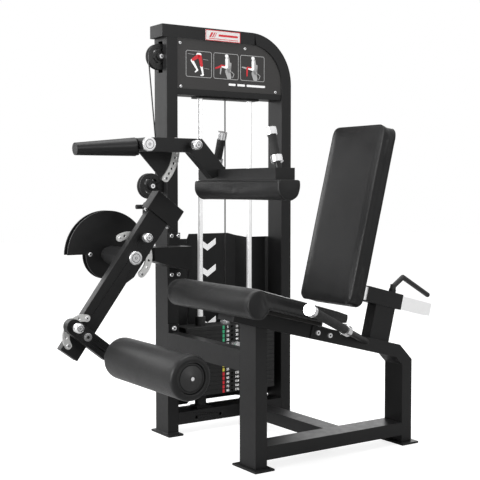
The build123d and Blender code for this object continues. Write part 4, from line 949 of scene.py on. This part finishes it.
def shroud_marks():
    """Plain white chevrons on the shroud's inner face, where a name would run."""
    tree = surface_tree(nodes["rear_shroud"])
    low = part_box("rear_shroud")[0]
    mesh = bmesh.new()
    centre_x = low.x + CHEVRON_MIDDLE
    for row in range(CHEVRON_COUNT):
        base = low.z + CHEVRON_TOP - CHEVRON_PITCH * row
        for side in (-1, 1):
            lower, upper = [], []
            for column in range(CHEVRON_COLUMNS + 1):
                share = column / CHEVRON_COLUMNS
                x = centre_x + side * CHEVRON_WIDE / 2 * share
                z = base + CHEVRON_RISE * share
                for line, height in ((lower, z), (upper, z + CHEVRON_STROKE)):
                    hit = tree.ray_cast(Vector((x, 0, height)), Vector((0, 1, 0)))[0]
                    line.append(mesh.verts.new((x, hit.y - INK_THICK, height)))
            for i in range(CHEVRON_COLUMNS):
                mesh.faces.new((lower[i], lower[i + 1], upper[i + 1], upper[i]))
    bmesh.ops.remove_doubles(mesh, verts=mesh.verts, dist=0.05 * MM)
    data = mesh_data("shroud_marks", mesh)
    piece = add_piece("shroud_marks", data, white_ink, "frame")
    thick = piece.modifiers.new("Thick", "SOLIDIFY")
    thick.thickness = INK_THICK * 0.8
    thick.offset = 0


shroud_marks()


# ------------------------------------------------------ painted shade in bolt head sockets
def islands(node):
    """Boxes of the separate solids in a CAD node."""
    mesh = bmesh.new()
    mesh.from_mesh(nodes[node].data)
    bmesh.ops.remove_doubles(mesh, verts=mesh.verts, dist=0.01 * MM)
    left = set(mesh.verts)
    boxes = []
    for vert in mesh.verts:
        if vert not in left:
            continue
        left.remove(vert)
        group, queue = [vert], [vert]
        while queue:
            for edge in queue.pop().link_edges:
                for other in edge.verts:
                    if other in left:
                        left.remove(other)
                        group.append(other)
                        queue.append(other)
        points = np.array([item.co for item in group])
        boxes.append((Vector(points.min(0)), Vector(points.max(0))))
    mesh.free()
    return boxes


SOCKET_SHARE = 0.42  # of the bolt head's radius


def bolt_socket_shades(node, name, body):
    """A dark hexagon on each bolt head that looks toward -Y: painted shade where the socket's recess is."""
    shapes = []
    for low, high in islands(node):
        radius = min(high.x - low.x, high.z - low.z) / 2
        reach = SOCKET_SHARE * radius
        centre = ((low.x + high.x) / 2, (low.z + high.z) / 2)
        hexagon = [(centre[0] + reach * math.cos(math.radians(60 * k + 30)),
                    centre[1] + reach * math.sin(math.radians(60 * k + 30))) for k in range(6)]
        shapes.append((hexagon, low.y))
    mesh = bmesh.new()
    for outline, face_y in shapes:
        flat_shape(mesh, outline, face_y + 0.2 * MM)
    add_piece(name, mesh_data(name, mesh), painted_shade_black, body)


bolt_socket_shades("frame_bolts", "frame_bolt_socket_shades", "frame")
bolt_socket_shades("cam_bolts", "cam_bolt_socket_shades", "cam")
bolt_socket_shades("lever_bolts", "lever_bolt_socket_shades", "lever")


# ------------------------------------------------------ turned and small parts
def lathe(name, profile, centre_x, centre_z, look, body, steps=48):
    """A turned piece about a line along Y. profile holds (y, radius) points and is closed."""
    mesh = bmesh.new()
    rings = []
    for step in range(steps):
        angle = 2 * math.pi * step / steps
        across, up = math.cos(angle), math.sin(angle)
        rings.append([mesh.verts.new((centre_x + radius * across, y, centre_z + radius * up))
                      for y, radius in profile])
    count = len(profile)
    for a, b in zip(rings, rings[1:] + rings[:1]):
        for i in range(count):
            j = (i + 1) % count
            mesh.faces.new((a[i], a[j], b[j], b[i]))
    data = mesh_data(name, mesh)
    for polygon in data.polygons:
        polygon.use_smooth = True
    return add_piece(name, data, look, body)


def roller_end_cover():
    """Domed black cover over the axle's near end, with the small bolt showing."""
    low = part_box("roller_core")[0]
    axle_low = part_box("roller_axle")[0]
    x, z = roller_middle.x, roller_middle.z
    hole = 6.5 * MM
    profile = ((low.y, 44 * MM), (low.y - 1.5 * MM, 40 * MM), (low.y - 3.6 * MM, 24 * MM),
               (axle_low.y - 1.2 * MM, 14 * MM), (axle_low.y - 1.6 * MM, hole + 1 * MM),
               (axle_low.y - 0.8 * MM, hole), (low.y, hole))
    lathe("roller_end_cover", profile, x, z, looks["black_plastic"], "roller")


roller_end_cover()


def live_stack_cable():
    """The cable over the stack, with a bright ferrule at its lower end that rides with the stack."""
    low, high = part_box("stack_cable")
    x, y = (low.x + high.x) / 2, (low.y + high.y) / 2
    top = Vector((x, y, high.z))
    bottom = Vector((x, y, low.z))
    count = 120
    points = [top.lerp(bottom, index / count) for index in range(count + 1)]
    cable = tube_curve("stack_cable_live", [(points, False)], (high.x - low.x) / 2, looks["coated_cable"],
                       "frame")
    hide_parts("stack_cable")
    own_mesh(cable)
    ferrule = ((low.z, 5.5), (low.z + 4 * MM, 6.2), (low.z + 22 * MM, 6.2), (low.z + 25 * MM, 5.0),
               (low.z + 32 * MM, 4.2), (low.z + 32 * MM, 3.3), (low.z, 3.3))
    profile = [(z, radius * MM) for z, radius in ferrule]
    sleeve = lathe("stack_cable_ferrule", profile, x, 0, looks["chrome_parts"], "stack", 32)
    upright = Matrix(((1, 0, 0, 0), (0, 0, 1, y), (0, 1, 0, 0), (0, 0, 0, 1)))  # from along Y to along Z
    sleeve.data.transform(upright)
    sleeve.data.flip_normals()


live_stack_cable()


def cap_rings():
    """Black rings on the bright caps: painted shade standing in for turned grooves and a centre mark."""
    marks = (("pivot_shaft", "cam", 26), ("thigh_shaft", "frame", 25), ("start_pop_pin", "start_pin", 17),
             ("roller_pop_pin", "roller_pin", 17), ("thigh_pop_pin", "thigh_pin", 17))
    for node, body, radius in marks:
        low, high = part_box(node)
        x, z = (low.x + high.x) / 2, (low.z + high.z) / 2
        tree = surface_tree(nodes[node])
        paths = []
        for share in (0.16, 0.62):
            circle = []
            for step in range(40):
                angle = 2 * math.pi * step / 40
                start = Vector((x + share * radius * MM * math.cos(angle), low.y - 0.1,
                                z + share * radius * MM * math.sin(angle)))
                hit = tree.ray_cast(start, Vector((0, 1, 0)))[0]
                circle.append(hit - Vector((0, 0.1 * MM, 0)))
            paths.append((circle, True))
        tube_curve(node + "_groove_shades", paths, 0.9 * MM, painted_shade_black, body)


cap_rings()


# --------------------------------------------------------------- weld beads
def bead_round(low, high, z):
    """A closed path round a rectangle at one height."""
    corners = [Vector((low.x, low.y, z)), Vector((high.x, low.y, z)),
               Vector((high.x, high.y, z)), Vector((low.x, high.y, z))]
    points = []
    for start, end in zip(corners, corners[1:] + corners[:1]):
        count = int((end - start).length / (3 * MM))
        points += [start.lerp(end, index / count) for index in range(count)]
    return points, True


def foot_beads():
    """Fillet welds where the two uprights stand on their feet."""
    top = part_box("foot_plates")[1].z + 0.5 * MM
    left_low, left_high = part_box("left_upright")
    span = Vector((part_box("arch_tube")[1].x - left_high.x, 0, 0))
    paths = [bead_round(left_low, left_high, top), bead_round(left_low + span, left_high + span, top)]
    tube_curve("foot_welds", paths, 2.4 * MM, weld_look, "frame", 0.22)


foot_beads()


# ------------------------------------------------------- stage, light, camera
def studio():
    size = 14.0
    corners = [(-size, -size, 0), (size, -size, 0), (size, size, 0), (-size, size, 0)]
    data = bpy.data.meshes.new("floor")
    data.from_pydata(corners, [], [(0, 1, 2, 3)])
    data.materials.append(pale_floor())
    floor = bpy.data.objects.new("floor", data)
    floor.location.z = -0.2 * MM
    bpy.context.scene.collection.objects.link(floor)


def area_light(name, place, target, size, power):
    light = bpy.data.lights.new(name, "AREA")
    light.shape = "RECTANGLE"
    light.size, light.size_y = size
    light.energy = power
    lamp = bpy.data.objects.new(name, light)
    lamp.location = place
    lamp.rotation_euler = (Vector(target) - Vector(place)).to_track_quat("-Z", "Y").to_euler()
    bpy.context.scene.collection.objects.link(lamp)


def white_world(seen, mirrored, lighting):
    """White behind the object, a little softer in reflections, and softer still as a light."""
    world = bpy.data.worlds.new("studio")
    bpy.context.scene.world = world
    world.use_nodes = True
    tree = world.node_tree
    background = tree.nodes["Background"]
    background.inputs["Color"].default_value = (1, 1, 1, 1)
    world.cycles.sampling_method = "NONE"
    path = tree.nodes.new("ShaderNodeLightPath")
    glossy = spread(tree, path.outputs["Is Glossy Ray"], 0, 1, lighting, mirrored)
    straight = spread(tree, path.outputs["Is Camera Ray"], 0, 1, 0, seen)
    strength = maths(tree, "MAXIMUM", glossy, straight)
    tree.links.new(strength, background.inputs["Strength"])


# The view of the photograph, fitted to the machine's parallel edges.
CAMERA_LENS = 74.82
CAMERA_PLACE = (-2.0132, -3.5103, 0.9976)
CAMERA_DOWN = math.radians(2.93)
CAMERA_TURN = math.radians(-34.05)


def photo_camera():
    data = bpy.data.cameras.new("camera")
    data.sensor_width = 36.0
    data.lens = CAMERA_LENS
    camera = bpy.data.objects.new("camera", data)
    camera.location = CAMERA_PLACE
    camera.rotation_euler = (math.pi / 2 - CAMERA_DOWN, 0, CAMERA_TURN)
    bpy.context.scene.collection.objects.link(camera)
    bpy.context.scene.camera = camera


studio()
white_world(1.0, 0.85, 0.26)
machine = (cad_box[0] + cad_box[1]) / 2
area_light("key", (-4.2, -0.4, 1.9), machine, (2.4, 2.6), 190)
area_light("front", (0.6, -5.0, 2.6), machine, (2.0, 1.2), 34)
area_light("top", (0.2, -0.4, 3.8), machine, (2.0, 2.6), 60)
area_light("rim", (3.6, 2.4, 2.4), machine, (1.6, 2.4), 22)
area_light("back", (-0.6, 5.2, 2.0), machine, (3.0, 2.0), 55)
photo_camera()
bpy.context.scene.view_settings.view_transform = "Standard"
